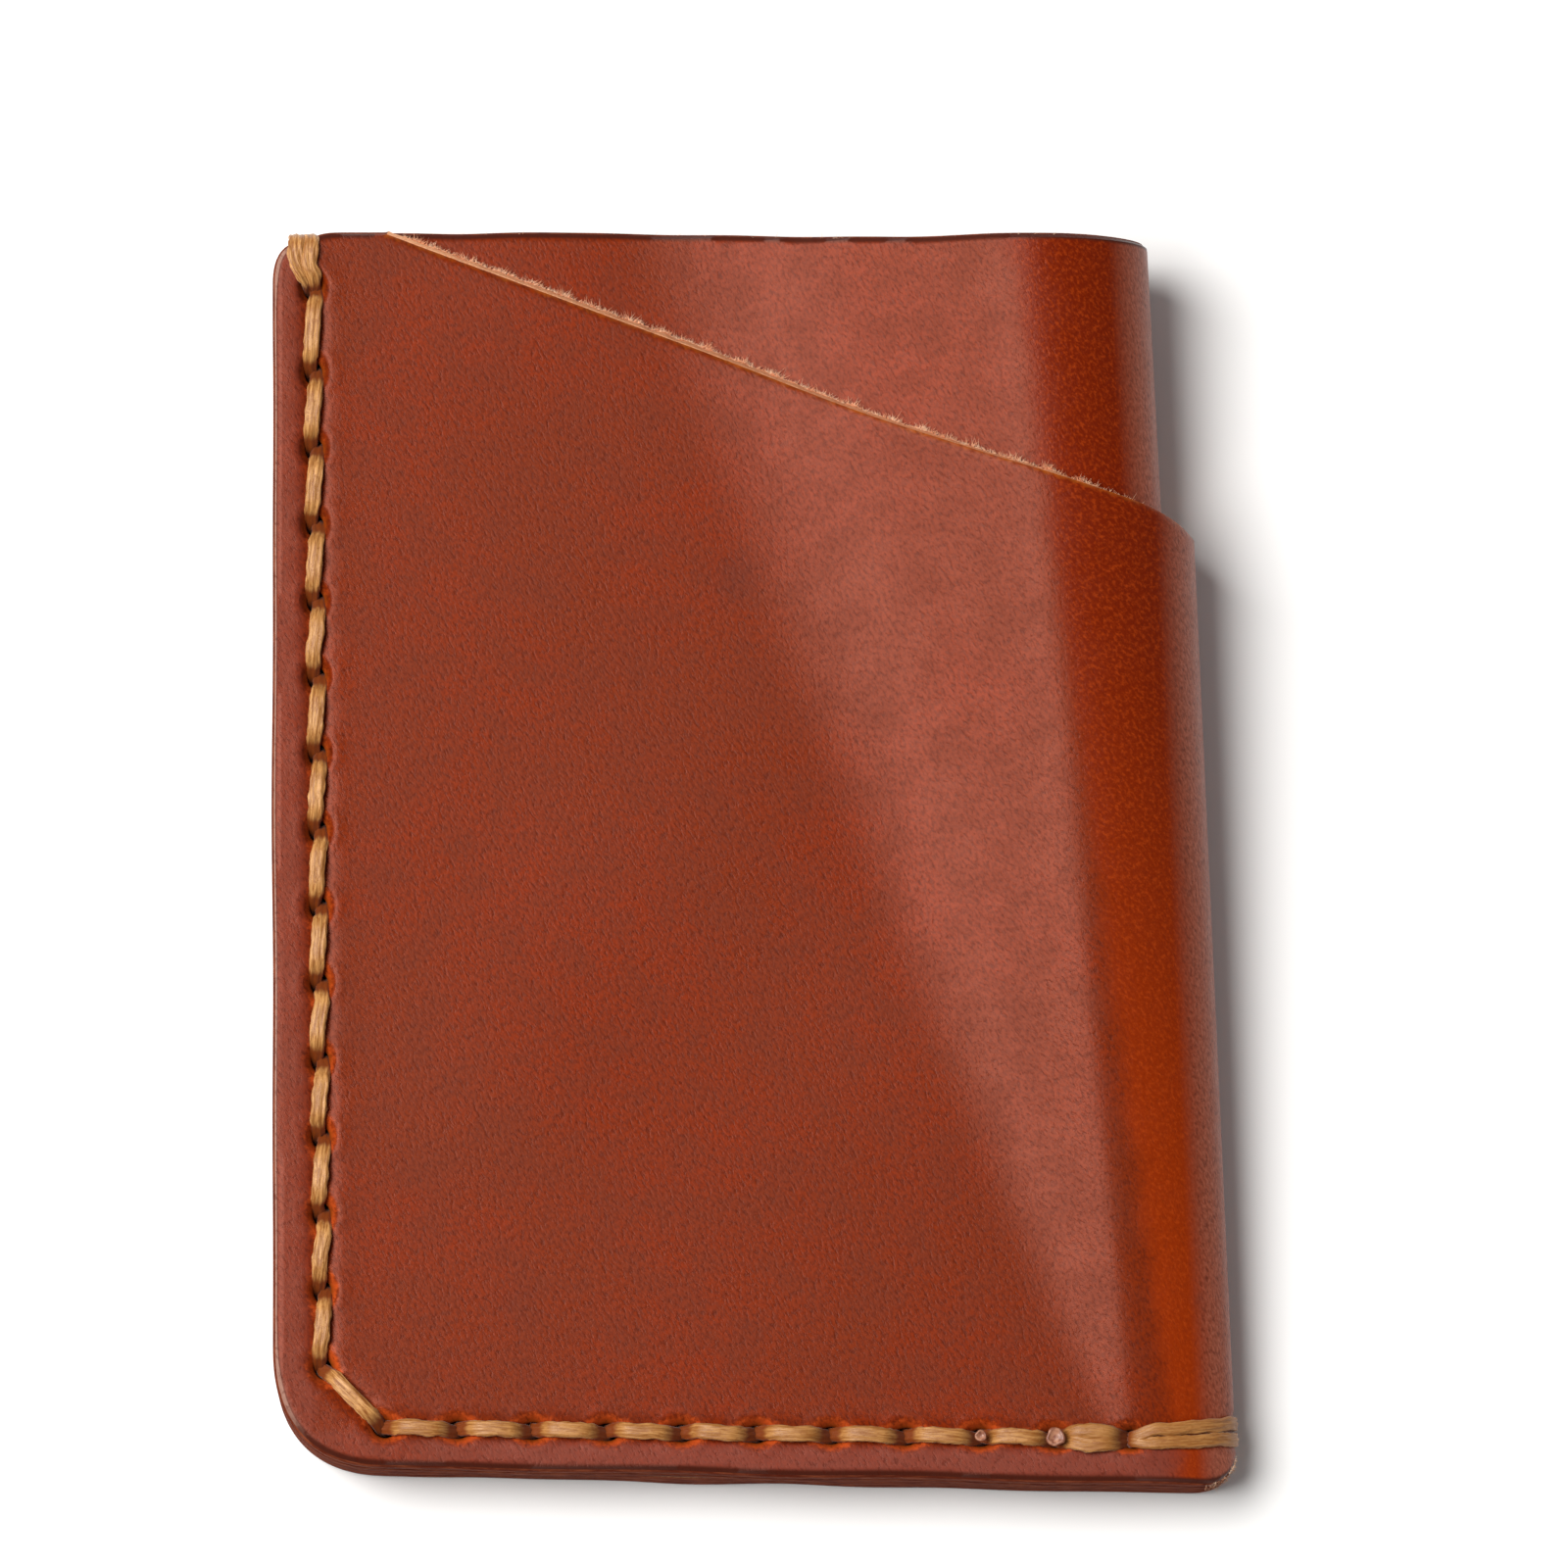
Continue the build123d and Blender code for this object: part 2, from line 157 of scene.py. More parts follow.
# ---- the folded sheets ----
class Ply:
    """A folded sheet. Its flat coordinates are a, measured across from the crest of the fold
    (front positive), and y. Depth is measured down from the outside of the wrap."""

    def __init__(self, depth, side_gap, top_gap, short):
        self.depth, self.side_gap, self.top_gap, self.short = depth, side_gap, top_gap, short

    def reach(self, y, depth):
        return at_section(REACH, y) - at_section(self.side_gap, y) - depth

    def lay(self, a, y, depth=None):
        """Points of the sheet in space, once folded."""
        depth = self.depth if depth is None else depth
        a, y = np.asarray(a, float), np.asarray(y, float)
        reach = self.reach(y, depth)
        crest = at_section(CREST_X, y)
        low = depth + self.top_gap[0]
        seam_z = STACK - depth - self.top_gap[0]
        high = at_section((STACK - self.top_gap[0], MOUTH_HEIGHT - self.top_gap[1]), y) - depth
        high = np.maximum(high, seam_z)
        angle = np.clip(a / HALF_FOLD, -1, 1) * pi / 2
        beyond = np.maximum(np.abs(a) - HALF_FOLD, 0) / FLAT
        x = np.where(beyond > 0, crest - beyond * (crest - EDGE_X), crest + (reach - crest) * np.cos(angle))
        rise = rise_share(x, rise_start(y), crest)
        z = (high + low) / 2 + (high - low) / 2 * np.sin(angle)
        z = np.where(a > HALF_FOLD, seam_z + (high - seam_z) * rise, np.where(a < -HALF_FOLD, low, z))
        return np.stack((x, y, z + sway(x, y, a)), -1)

    def outward(self, a, y, depth=None):
        """Unit normals of the sheet, away from the inside of the fold."""
        step = 0.05
        across = self.lay(a + step, y, depth) - self.lay(a - step, y, depth)
        up = self.lay(a, y + step, depth) - self.lay(a, y - step, depth)
        normal = np.cross(up, across)
        return normal / np.linalg.norm(normal, axis=-1, keepdims=True)

    def unfold(self, x, y):
        """Flat coordinate a, front side, of a point seen from the front."""
        crest = at_section(CREST_X, y)
        share = np.clip((x - crest) / (self.reach(y, self.depth) - crest), 0, 1)
        round_part = HALF_FOLD * np.arccos(share) * 2 / pi
        return np.where(x > crest, round_part, HALF_FOLD + FLAT * (crest - x) / (crest - EDGE_X))


def sway(x, y, a):
    """The handmade front wall isn't a perfect sheet: it waves a little, away from its seams."""
    free = smooth(x, SEAM_X, SEAM_X + 20) * smooth(y, FOOT_Y + 4, FOOT_Y + 30) * smooth(a, 0, HALF_FOLD)
    return 0.16 * free * wander(x + 0.3 * y, 4, 34) * wander(y - 0.2 * x, 5, 46)


WRAP = Ply(0.0, (0, 0), (0, 0), 0.25)
SLEEVE = Ply(LEATHER, SLEEVE_SIDE_GAP, SLEEVE_TOP_GAP, 0.0)


# ---- outlines in plan ----
def bend(start, corner, end, count=24):
    """Dense points of a rounded corner."""
    t = np.linspace(0, 1, count)[:, None]
    return (1 - t) ** 2 * np.array(start) + 2 * t * (1 - t) * np.array(corner) + t**2 * np.array(end)


def line(start, end, step=0.2):
    count = max(2, int(np.hypot(*(np.array(end) - start)) / step))
    return np.linspace(start, end, count)


def evenly(points, step):
    """Points one step apart along a line."""
    lengths = np.r_[0, np.cumsum(np.hypot(*np.diff(points, axis=0).T))]
    at = np.linspace(0, lengths[-1], int(round(lengths[-1] / step)) + 1)
    return np.stack([np.interp(at, lengths, points[:, i]) for i in (0, 1)], -1)


def foot_at(x):
    return FOOT_Y - (x - EDGE_X) * tan(radians(FOOT_DROP))


def mouth_at(x, short):
    return MOUTH_Y - short - MOUTH_FALL * smooth(x, MOUTH_FALL_X, CREST_X[1])


def slash_at(x):
    near, far = SLASH_SAG
    sag = near + (far - near) * smooth(x, -6, 12) - far * smooth(x, 18, SLASH_END[0])
    return SLASH_Y - (x - SLASH_START_X) * tan(radians(SLASH_ANGLE)) - sag


def plan_line(ply, slashed):
    """The edge of a sheet seen from the front, from the fold at the foot, round by the sewn side,
    to the fold at the mouth."""
    top, low_x, high_x = MOUTH_Y - ply.short, EDGE_X + FOOT_CORNER, EDGE_X + MOUTH_CORNER
    fold_x, fold_y = FOLD_X - FOLD_CORNER, foot_at(FOLD_X)
    parts = [
        line((FOLD_X, fold_y + 8), (FOLD_X, fold_y + FOLD_CORNER)),
        bend((FOLD_X, fold_y + FOLD_CORNER), (FOLD_X, fold_y), (fold_x, foot_at(fold_x))),
        line((fold_x, foot_at(fold_x)), (low_x, foot_at(low_x))),
        bend((low_x, foot_at(low_x)), (EDGE_X, FOOT_Y), (EDGE_X, FOOT_Y + FOOT_CORNER)),
        line((EDGE_X, FOOT_Y + FOOT_CORNER), (EDGE_X, top - MOUTH_CORNER)),
        bend((EDGE_X, top - MOUTH_CORNER), (EDGE_X, top), (high_x, mouth_at(high_x, ply.short))),
    ]
    if slashed:
        met_x = SLASH_START_X + (SLASH_Y - SLASH_SAG[0] - MOUTH_Y + ply.short) / tan(radians(SLASH_ANGLE))
        turn = (SLASH_TURN_X, slash_at(SLASH_TURN_X))
        apex = (SLASH_END[0], slash_at(SLASH_END[0]))
        parts.append(line((high_x, mouth_at(high_x, ply.short)), (met_x, slash_at(met_x))))
        x = np.linspace(met_x, SLASH_TURN_X, 120)
        parts.append(np.stack((x, slash_at(x)), -1))
        parts.append(bend(turn, apex, SLASH_END))
    else:
        x = np.arange(high_x, FOLD_X, 0.2)
        parts.append(np.stack((x, mouth_at(x, 0)), -1))
    return np.concatenate([part[1:] for part in parts])


def unfolded_outline(ply, slashed):
    """The whole outline in flat coordinates, one closed loop, a little uneven as cut by hand."""
    plan = plan_line(ply, slashed)
    inside = np.flatnonzero(plan[:, 0] < ply.reach(plan[:, 1], ply.depth))
    plan = plan[inside[0] : inside[-1] + 1]
    ends = plan[[0, -1]].copy()
    ends[:, 0] = ply.reach(ends[:, 1], ply.depth)
    plan = np.concatenate((ends[:1], plan, ends[1:]))
    loop = []
    for side in (1, -1):
        flat = in_flat(ply, plan, side)
        flat[[0, -1], 0] = 0
        flat = evenly(flat, OUTLINE_STEP)
        flat = dent(flat, plan_x(ply, flat), side)
        loop.append(flat if side > 0 else flat[-2:0:-1])
    return np.concatenate(loop)


def plan_x(ply, flat):
    return ply.lay(*flat.T)[:, 0]


def in_flat(ply, plan, side):
    """Flat coordinates, on the front or back side, of points in plan."""
    return np.stack((ply.unfold(*plan.T) * side, plan[:, 1]), -1)


def dent(flat, x, side):
    """Small unevenness of the cut, and the notch that the corner loop pulls in the mouth edge."""
    a, y = flat.T
    sewn = bump(x - EDGE_X, 0.6) * (1 - smooth(np.abs(y), 36, 46))
    foot = smooth(y, FOOT_Y + 3, FOOT_Y - 1) * smooth(x, EDGE_X + 9, EDGE_X + 16)
    mouth = smooth(y, mouth_at(x, 1.2), mouth_at(x, 0.6)) * smooth(x, EDGE_X + 8, EDGE_X + 16)
    loop_x = SIDE_HOLE[0] - 0.70
    notch = bump(x - loop_x, 1.25) * smooth(y, 47.5, 48.7)
    inward = 0.10 * smooth(y, 45, 30) + 0.25 * smooth(y, 10, -45)
    near_sewn = smooth(x, EDGE_X + 9, EDGE_X + 1)
    a = a + side * 0.04 * sewn * wander(y, 11 + side, 30) - side * inward * near_sewn
    y = y + foot * 0.08 * wander(x, 13 + side, 16) + mouth * 0.05 * wander(x, 17, 12) - 0.5 * notch
    return np.stack((a, y), -1)


# ---- meshing a sheet ----
def distance_to(points, path, closed=True):
    """Distance of each point to a line, in the same flat coordinates."""
    ends = np.roll(path, -1, 0) if closed else path[1:]
    starts = path if closed else path[:-1]
    nearest = np.full(len(points), np.inf)
    for start, end in zip(starts, ends):
        along = end - start
        t = np.clip((points - start) @ along / (along @ along + 1e-12), 0, 1)
        nearest = np.minimum(nearest, ((points - start - t[:, None] * along) ** 2).sum(1))
    return np.sqrt(nearest)


def inside(points, loop):
    """Whether each point is inside a closed loop."""
    x, y = points.T
    result = np.zeros(len(points), bool)
    for (x0, y0), (x1, y1) in zip(loop, np.roll(loop, -1, 0)):
        if y0 != y1:
            crossed = (y > min(y0, y1)) & (y <= max(y0, y1))
            result ^= crossed & (x < x0 + (y - y0) * (x1 - x0) / (y1 - y0))
    return result


def outward_2d(loop):
    """Outward unit normals of a loop, in flat coordinates."""
    along = np.roll(loop, -1, 0) - np.roll(loop, 1, 0)
    normal = np.stack((along[:, 1], -along[:, 0]), -1)
    area = (loop[:, 0] * np.roll(loop[:, 1], -1) - loop[:, 1] * np.roll(loop[:, 0], -1)).sum()
    return normal * np.sign(area) / np.linalg.norm(normal, axis=1, keepdims=True)


def seam_axes(hole):
    """Directions along and across the seam at a hole."""
    index = next(i for i, other in enumerate(HOLES) if other is hole)
    before, after = HOLES[max(index - 1, 0)], HOLES[min(index + 1, len(HOLES) - 1)]
    along = (after - before) / np.linalg.norm(after - before)
    return along, np.array((-along[1], along[0]))


def from_hole(points, hole):
    """How far plan points are from the middle of a hole, where 1 is the side of its throat."""
    along, across = seam_axes(hole)
    offset = points - hole
    parts = np.stack((offset @ across / HOLE_SIZE[0], offset @ along / HOLE_SIZE[1]), -1)
    return np.linalg.norm(parts, axis=1)


def clear_of_holes(ply, flat, distance):
    """Those of the points of a sheet that are further than this from every hole."""
    plan = ply.lay(*flat.T)[:, :2]
    return flat[np.all([from_hole(plan, hole) > distance for hole in HOLES], 0)]


def hole_ring(hole, scale):
    along, across = seam_axes(hole)
    turn = np.linspace(0, 2 * pi, RING_POINTS, endpoint=False)[:, None]
    return hole + scale * (np.cos(turn) * across * HOLE_SIZE[0] + np.sin(turn) * along * HOLE_SIZE[1])


def graded_points(loop, size_at, coarse, levels):
    """Grid points inside a loop, closer together where size_at asks for it."""
    low, high = loop.min(0), loop.max(0)
    kept = []
    for level in range(levels):
        step = coarse / 2**level
        grid = np.stack(np.meshgrid(*[np.arange(low[i], high[i], step) for i in (0, 1)]), -1).reshape(-1, 2)
        if level:
            index = np.round((grid - low) / step).astype(int)
            grid = grid[(index % 2).any(1)]
            grid = grid[size_at(grid) <= step * 1.001]
        kept.append(grid)
    points = np.concatenate(kept)
    return points[inside(points, loop)]


def triangulate(loop, holes, points):
    """Triangles between an outline, its holes and the points inside."""
    loops = [loop] + holes
    fixed = np.concatenate(loops)
    edges, start = [], 0
    for ring in loops:
        edges += [(start + i, start + (i + 1) % len(ring)) for i in range(len(ring))]
        start += len(ring)
    everything = np.concatenate((fixed, points))
    found = geometry.delaunay_2d_cdt([Vector(p) for p in everything], edges, [], 0, 1e-6)
    source = np.array([ids[0] if ids else -1 for ids in found[3]])
    triangles = source[np.array(found[2])]
    keep = (triangles >= 0).all(1)
    middle = everything[triangles].mean(1)
    out = np.flatnonzero(keep & (triangles < len(fixed)).all(1))
    good = inside(middle[out], loop)
    for hole in holes:
        good &= ~inside(middle[out], hole)
    keep[out] = good
    return everything, triangles[keep]


def slash_share(ply, flat):
    """1 on the raw slanted cut, 0 on the burnished edges."""
    if ply is not WRAP:
        return np.zeros(len(flat))
    x, y = plan_x(ply, flat), flat[:, 1]
    short = np.abs(y - slash_at(x))
    on_cut = (short < 0.5) & (x > SLASH_START_X - 0.6) | ((x > SLASH_TURN_X) & (y > SLASH_END[1] - 1))
    return on_cut.astype(float)


def plan_seam_distance(points):
    return distance_to(points, np.array(HOLES), closed=False)


def relief(ply, flat, margin, raw):
    """How far the outer face stands out of (or in from) the plain sheet."""
    plan, front = ply.lay(*flat.T)[:, :2], flat[:, 0] > 0
    edge_round = np.where(raw > 0.5, 0.16, 0.34)
    near = np.minimum(margin, edge_round)
    height = -(edge_round - np.sqrt(edge_round**2 - (edge_round - near) ** 2)) * 0.8
    if ply is not WRAP:
        return height
    seam = plan_seam_distance(plan)
    depth = np.where(front, FRONT_VALLEY, BACK_VALLEY)
    height = height - depth * bump(seam, 0.8) + 0.02 * bump(seam - 1.8, 0.8) * front
    for hole in HOLES:
        about = from_hole(plan, hole)
        near = about < 5
        height[near] -= 0.85 * (1 - smooth(about[near], 0.85, 1.85))
        height[near] += 0.05 * bump(about[near] - 2.2, 0.4)
    for strand in strand_lines():
        height -= 0.30 * bump(distance_to(flat, strand, closed=False), 0.62)
    return height


def strand_lines():
    """The two strands round the fold, in the wrap's flat coordinates."""
    hole = FOOT_HOLES[-1]
    start = float(WRAP.unfold(*hole))
    lines = []
    for side, heading in zip((0.50, -0.50), FOLD_HEADINGS):
        a = np.linspace(start - 0.4, -start + 0.4, 60)
        rise = (start - np.abs(a)) * tan(radians(heading))
        lines.append(np.stack((a, hole[1] + side + rise), -1))
    return lines


def rim_profile(raw):
    """Rows of a cut edge from the outer to the inner face: how deep, and how far out."""
    rows = np.linspace(0, 1, 6)
    swell, bevel = EDGE_SWELL * np.sin(pi * rows), rows * CUT_BEVEL
    return rows, np.where(raw[None, :] > 0.5, bevel[:, None], swell[:, None])


def bevel_share(ply, flat):
    """The raw cut leans most at its upper end."""
    x = plan_x(ply, flat)
    return 1 - 0.30 * smooth(x, 0, 24) - 0.42 * smooth(x, 30, SLASH_END[0] - 1)


def outer_points(ply, loop):
    """Points inside the outline of the outer face: closest at the edges, seams and strands."""

    def size_at(points):
        edge = distance_to(points, loop[::3])
        size = np.where(edge < 0.9, FINE, np.where(edge < 2.4, MEDIUM, COARSE))
        size = np.where((np.abs(points[:, 0]) < HALF_FOLD + 3) & (size > MEDIUM), MEDIUM, size)
        if ply is WRAP:
            seam = plan_seam_distance(ply.lay(*points.T)[:, :2])
            size = np.where(seam < 1.7, FINE, np.where(seam < 3.4, np.minimum(size, MEDIUM), size))
            for strand in strand_lines():
                size = np.where(distance_to(points, strand, False) < 1.1, FINE, size)
        return size

    points = graded_points(loop, size_at, COARSE, 3)
    points = points[distance_to(points, loop) > FINE / 2]
    if ply is not WRAP:
        return clear_of_holes(ply, points, 1.3)
    collars = [
        in_flat(ply, hole_ring(hole, scale), side)
        for side in (1, -1)
        for hole in HOLES
        for scale in RING_SCALES
    ]
    return np.concatenate([clear_of_holes(ply, points, RING_SCALES[-1] * 1.08)] + collars)


def inner_points(ply, loop):
    """Points inside the outline of the flesh side."""

    def size_at(points):
        size = np.where(distance_to(points, loop[::3]) < 2.0, 0.7, 2.8)
        return np.where((np.abs(points[:, 0]) < HALF_FOLD + 3) & (size > 1.4), 1.4, size)

    points = graded_points(loop, size_at, 2.8, 3)
    return clear_of_holes(ply, points[distance_to(points, loop) > 0.4], 1.4)


def strip(upper, lower):
    """Faces between rings of point numbers, one ring to the next."""
    corners = (upper, np.roll(upper, -1, -1), np.roll(lower, -1, -1), lower)
    return np.stack(corners, -1).reshape(-1, 4).tolist()


def tube(count, around):
    """Faces of a closed tube: rings of points, and an end cap on the first and the last."""
    index = np.arange(count * around).reshape(count, around)
    return strip(index[:-1], index[1:]) + [index[0][::-1].tolist(), index[-1].tolist()]


def new_mesh(name, points, faces):
    """A smooth mesh from points in millimetres, with its faces turned outwards."""
    mesh = bpy.data.meshes.new(name)
    mesh.from_pydata((points * MM).tolist(), [], faces)
    work = bmesh.new()
    work.from_mesh(mesh)
    bmesh.ops.recalc_face_normals(work, faces=work.faces)
    work.to_mesh(mesh)
    work.free()
    mesh.polygons.foreach_set("use_smooth", np.ones(len(mesh.polygons), bool))
    return mesh


def hand_over(obj, node):
    """Say what a piece rides on, and the node that it replaces, if any."""
    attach(obj, "root")
    if node:
        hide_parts(node)


def new_object(name, data):
    made = bpy.data.objects.new(name, data)
    bpy.context.scene.collection.objects.link(made)
    return made


def build_sheet(name, ply, slashed):
    """A folded leather sheet as one closed mesh: outer face, flesh side, and its cut edges."""
    loop = unfolded_outline(ply, slashed)
    raw = slash_share(ply, loop)
    normal = outward_2d(loop)
    depths, reach_out = rim_profile(raw)
    ragged = 1 + raw * 0.12 * wander(np.arange(len(loop)) * OUTLINE_STEP, 21, 1.6)
    reach_out = reach_out * np.where(raw > 0.5, bevel_share(ply, loop), 1) * ragged
    inner_loop = loop + normal * reach_out[-1][:, None]
    rings = [in_flat(ply, hole_ring(hole, 1.0), side) for side in (1, -1) for hole in HOLES]
    outer_flat, outer_faces = triangulate(loop, rings, outer_points(ply, loop))
    inner_flat, inner_faces = triangulate(inner_loop, rings, inner_points(ply, inner_loop))

    margin = distance_to(outer_flat, loop)
    outer_raw = slash_share(ply, outer_flat) * (margin < 0.6)
    outer_raw[: len(loop)] = raw
    height = relief(ply, outer_flat, margin, outer_raw)
    outer_place = ply.lay(*outer_flat.T) + ply.outward(*outer_flat.T) * height[:, None]
    inner_place = ply.lay(*inner_flat.T, ply.depth + LEATHER)

    places, flats = [outer_place, inner_place], [outer_flat, inner_flat]
    rows = [np.arange(len(loop))]
    count = len(outer_flat) + len(inner_flat)
    for depth, out in zip(depths[1:-1], reach_out[1:-1]):
        flat = loop + normal * out[:, None]
        share = (np.maximum(depth * LEATHER, -height[: len(loop)]) / LEATHER)[:, None]
        places.append(ply.lay(*flat.T) * (1 - share) + ply.lay(*flat.T, ply.depth + LEATHER) * share)
        flats.append(flat)
        rows.append(np.arange(count, count + len(loop)))
        count += len(loop)
    rows.append(np.arange(len(loop)) + len(outer_flat))
    kinds = [np.full(len(outer_faces), GRAIN), np.full(len(inner_faces), FLESH)]
    faces = [outer_faces.tolist(), (inner_faces + len(outer_flat)).tolist()]
    both_raw = raw * np.roll(raw, -1)
    for upper, lower in zip(rows, rows[1:]):
        faces.append(strip(upper, lower))
        kinds.append(np.where(both_raw > 0.5, CUT, EDGE))
    start = len(loop)
    for ring in rings:
        upper = np.arange(start, start + len(ring))
        faces.append(strip(upper, upper + len(outer_flat)))
        kinds.append(np.full(len(ring), EDGE))
        start += len(ring)

    mesh = new_mesh(name, np.concatenate(places), sum(faces, []))
    mesh.polygons.foreach_set("material_index", np.concatenate(kinds))
    mesh.set_sharp_from_angle(angle=radians(42))
    paint_sheet(mesh, ply, np.concatenate(places), np.concatenate(flats), loop)
    return new_object(name, mesh), inner_loop


def attribute(mesh, name, values, kind="FLOAT"):
    made = mesh.attributes.new(name, kind, "POINT")
    key = "value" if kind == "FLOAT" else "vector"
    made.data.foreach_set(key, np.asarray(values, np.float32).ravel())


def wear_marks(plan):
    """A few smudges and dark specks on the front."""
    mark = np.zeros(len(plan))
    for x, y, size, depth in SMUDGES:
        mark += depth * bump(np.linalg.norm(plan - (x, y), axis=1), size)
    return np.clip(mark, 0, 1)


def paint_sheet(mesh, ply, places, flats, loop):
    """Where the leather is stained, scuffed, worn or stretched, and where its material paints shade, sheen
    and highlights.
    """
    plan, front = places[:, :2], flats[:, 0] > 0
    attribute(mesh, "flat", np.pad(flats, ((0, 0), (0, 1))), "FLOAT_VECTOR")
    seam = plan_seam_distance(plan)
    holes = np.min([np.linalg.norm(plan - hole, axis=1) for hole in HOLES], 0)
    low_part = smooth(plan[:, 1], 30, -40)
    # Lighter round the seam and holes: partly scuffed leather, partly painted light that lifts the shade in
    # the stitch valleys.
    halo = (0.50 + 0.1 * low_part) * bump(seam, 0.85) + (0.34 + 0.48 * low_part) * bump(holes, 1.5)
    outside = ply is WRAP
    attribute(mesh, "halo", np.clip(halo, 0, 1) * outside)
    attribute(mesh, "throat", (1 - smooth(holes, 0.7, 1.15)) * outside)
    raw = slash_share(ply, loop) > 0.5
    cut = distance_to(flats, loop[raw], closed=False) if raw.any() else np.full(len(flats), 9.0)
    attribute(mesh, "cut", 1 - smooth(cut, 0.05, 0.22))
    sewn_side = smooth(plan[:, 1], FOOT_Y + 6, FOOT_Y + 12)
    sewn_side = sewn_side * (1 - smooth(plan[:, 1], MOUTH_Y - 7, MOUTH_Y - 3))
    margin = distance_to(flats, loop[::2]) * (1 + 1.2 * sewn_side)
    attribute(mesh, "margin", margin + 1 - smooth(cut, 0.5, 1.2))
    beyond_seam = (plan[:, 0] < SIDE_HOLE[0] + 0.2) | (plan[:, 1] < foot_at(plan[:, 0]) + 2.6)
    # Painted highlight: a pinkish sheen on the land beyond the seams, twice as strong away from the sewn
    # edge.
    land_sheen_gain = 1 + smooth(plan[:, 0], EDGE_X + 9, EDGE_X + 20)
    attribute(mesh, "land", smooth(seam, 0.6, 1.3) * beyond_seam * land_sheen_gain * front)
    # Near the sewn edge, where a pale highlight is painted along the rim.
    attribute(mesh, "sewn", (1 - smooth(plan[:, 0], EDGE_X + 1, EDGE_X + 3)) * front)
    # The band along the fold is darker: partly oil darkening of the bent leather, partly painted shade.
    attribute(mesh, "band", plan[:, 0] - at_section(BAND_X, plan[:, 1]))
    attribute(mesh, "mark", wear_marks(plan) * front * outside)
    # Distance in from the fold's outer rim, where a pale sheen is painted on and the darker band fades out.
    attribute(mesh, "from_reach", plan[:, 0] - ply.reach(plan[:, 1], ply.depth))


# ---- thread ----
def b_spline(control, count):
    """Dense points of a smooth curve that starts and ends at its end points."""
    control = np.asarray(control, float)
    padded = np.concatenate((2 * control[:1] - control[1:2], control, 2 * control[-1:] - control[-2:-1]))
    t = np.linspace(0, len(control) - 1 - 1e-6, count)
    index, u = t.astype(int), (t % 1)[:, None]
    p = [padded[np.minimum(index + i, len(padded) - 1)] for i in range(4)]
    outer = (1 - u) ** 3 * p[0] + u**3 * p[3]
    return (outer + (3 * u**3 - 6 * u**2 + 4) * p[1] + (-3 * u**3 + 3 * u**2 + 3 * u + 1) * p[2]) / 6


def ribbon(path, up, width, thick, seed, around=32):
    """A flat bundle of fibres along a path: points and faces, with fine ridges along it."""
    rng = np.random.default_rng(seed)
    along = np.gradient(path, axis=0)
    along /= np.linalg.norm(along, axis=1, keepdims=True)
    across = np.cross(along, up)
    across /= np.linalg.norm(across, axis=1, keepdims=True)
    normal = np.cross(across, along)
    run = np.r_[0, np.cumsum(np.linalg.norm(np.diff(path, axis=0), axis=1))]
    angle = np.linspace(0, 2 * pi, around, endpoint=False)
    c, s = np.cos(angle), np.sin(angle)
    wide = np.sign(c) * np.abs(c) ** 0.72
    high = np.sign(s) * np.abs(s) ** 0.80
    drift = rng.uniform(-0.35, 0.35) * run + 0.35 * wander(run, seed + 1, 2.4)
    phase = wide[None, :] * 7.5 + drift[:, None] * 2.2 + rng.uniform(0, 6)
    ridge = 0.055 * np.cos(phase) + 0.02 * np.cos(2.3 * phase + run[:, None] * 3.1)
    sway_side = 0.05 * wander(run, seed + 2, 3.0)
    ragged = 1 + 0.05 * wander(run[:, None] + wide[None, :] * 3, seed + 3, 1.1)
    x = wide[None, :] * width[:, None] / 2 * ragged + sway_side[:, None]
    y = high[None, :] * (thick[:, None] / 2 + ridge * np.abs(high)[None, :] ** 0.5)
    points = path[:, None, :] + across[:, None, :] * x[..., None] + normal[:, None, :] * y[..., None]
    coords = np.stack((x, np.broadcast_to(run[:, None], x.shape) + seed * 7.3, y), -1)
    return points.reshape(-1, 3), tube(len(path), around), coords.reshape(-1, 3)


def join(name, parts, material, node=None, aged=0.0):
    """One piece from several bundles, standing in for a node of the model."""
    points, faces, coords, start = [], [], [], 0
    for some, some_faces, some_coords in parts:
        points.append(some)
        coords.append(some_coords)
        faces += [[i + start for i in face] for face in some_faces]
        start += len(some)
    place = np.concatenate(points)
    mesh = new_mesh(name, place, faces)
    attribute(mesh, "run", np.concatenate(coords), "FLOAT_VECTOR")
    x, y, z = place.T
    # How far the thread lies below the leather's surface, for the painted shade in the holes.
    sunk = np.where(z > STACK / 2, np.maximum(surface_height(place) - z, 0), smooth(z, 0.5, 1.6))
    in_leather = (x < FOOT_HOLES[-1][0] + 2) & (y < SIDE_HOLES[0][1] + 2)
    attribute(mesh, "aged", np.full(len(place), aged))
    attribute(mesh, "sunk", sunk * in_leather)
    mesh.materials.append(material)
    obj = new_object(name, mesh)
    hand_over(obj, node)
    return obj


def surface_height(place):
    """Height of the front wall over points in plan."""
    return WRAP.lay(*in_flat(WRAP, place[:, :2], 1).T)[:, 2]


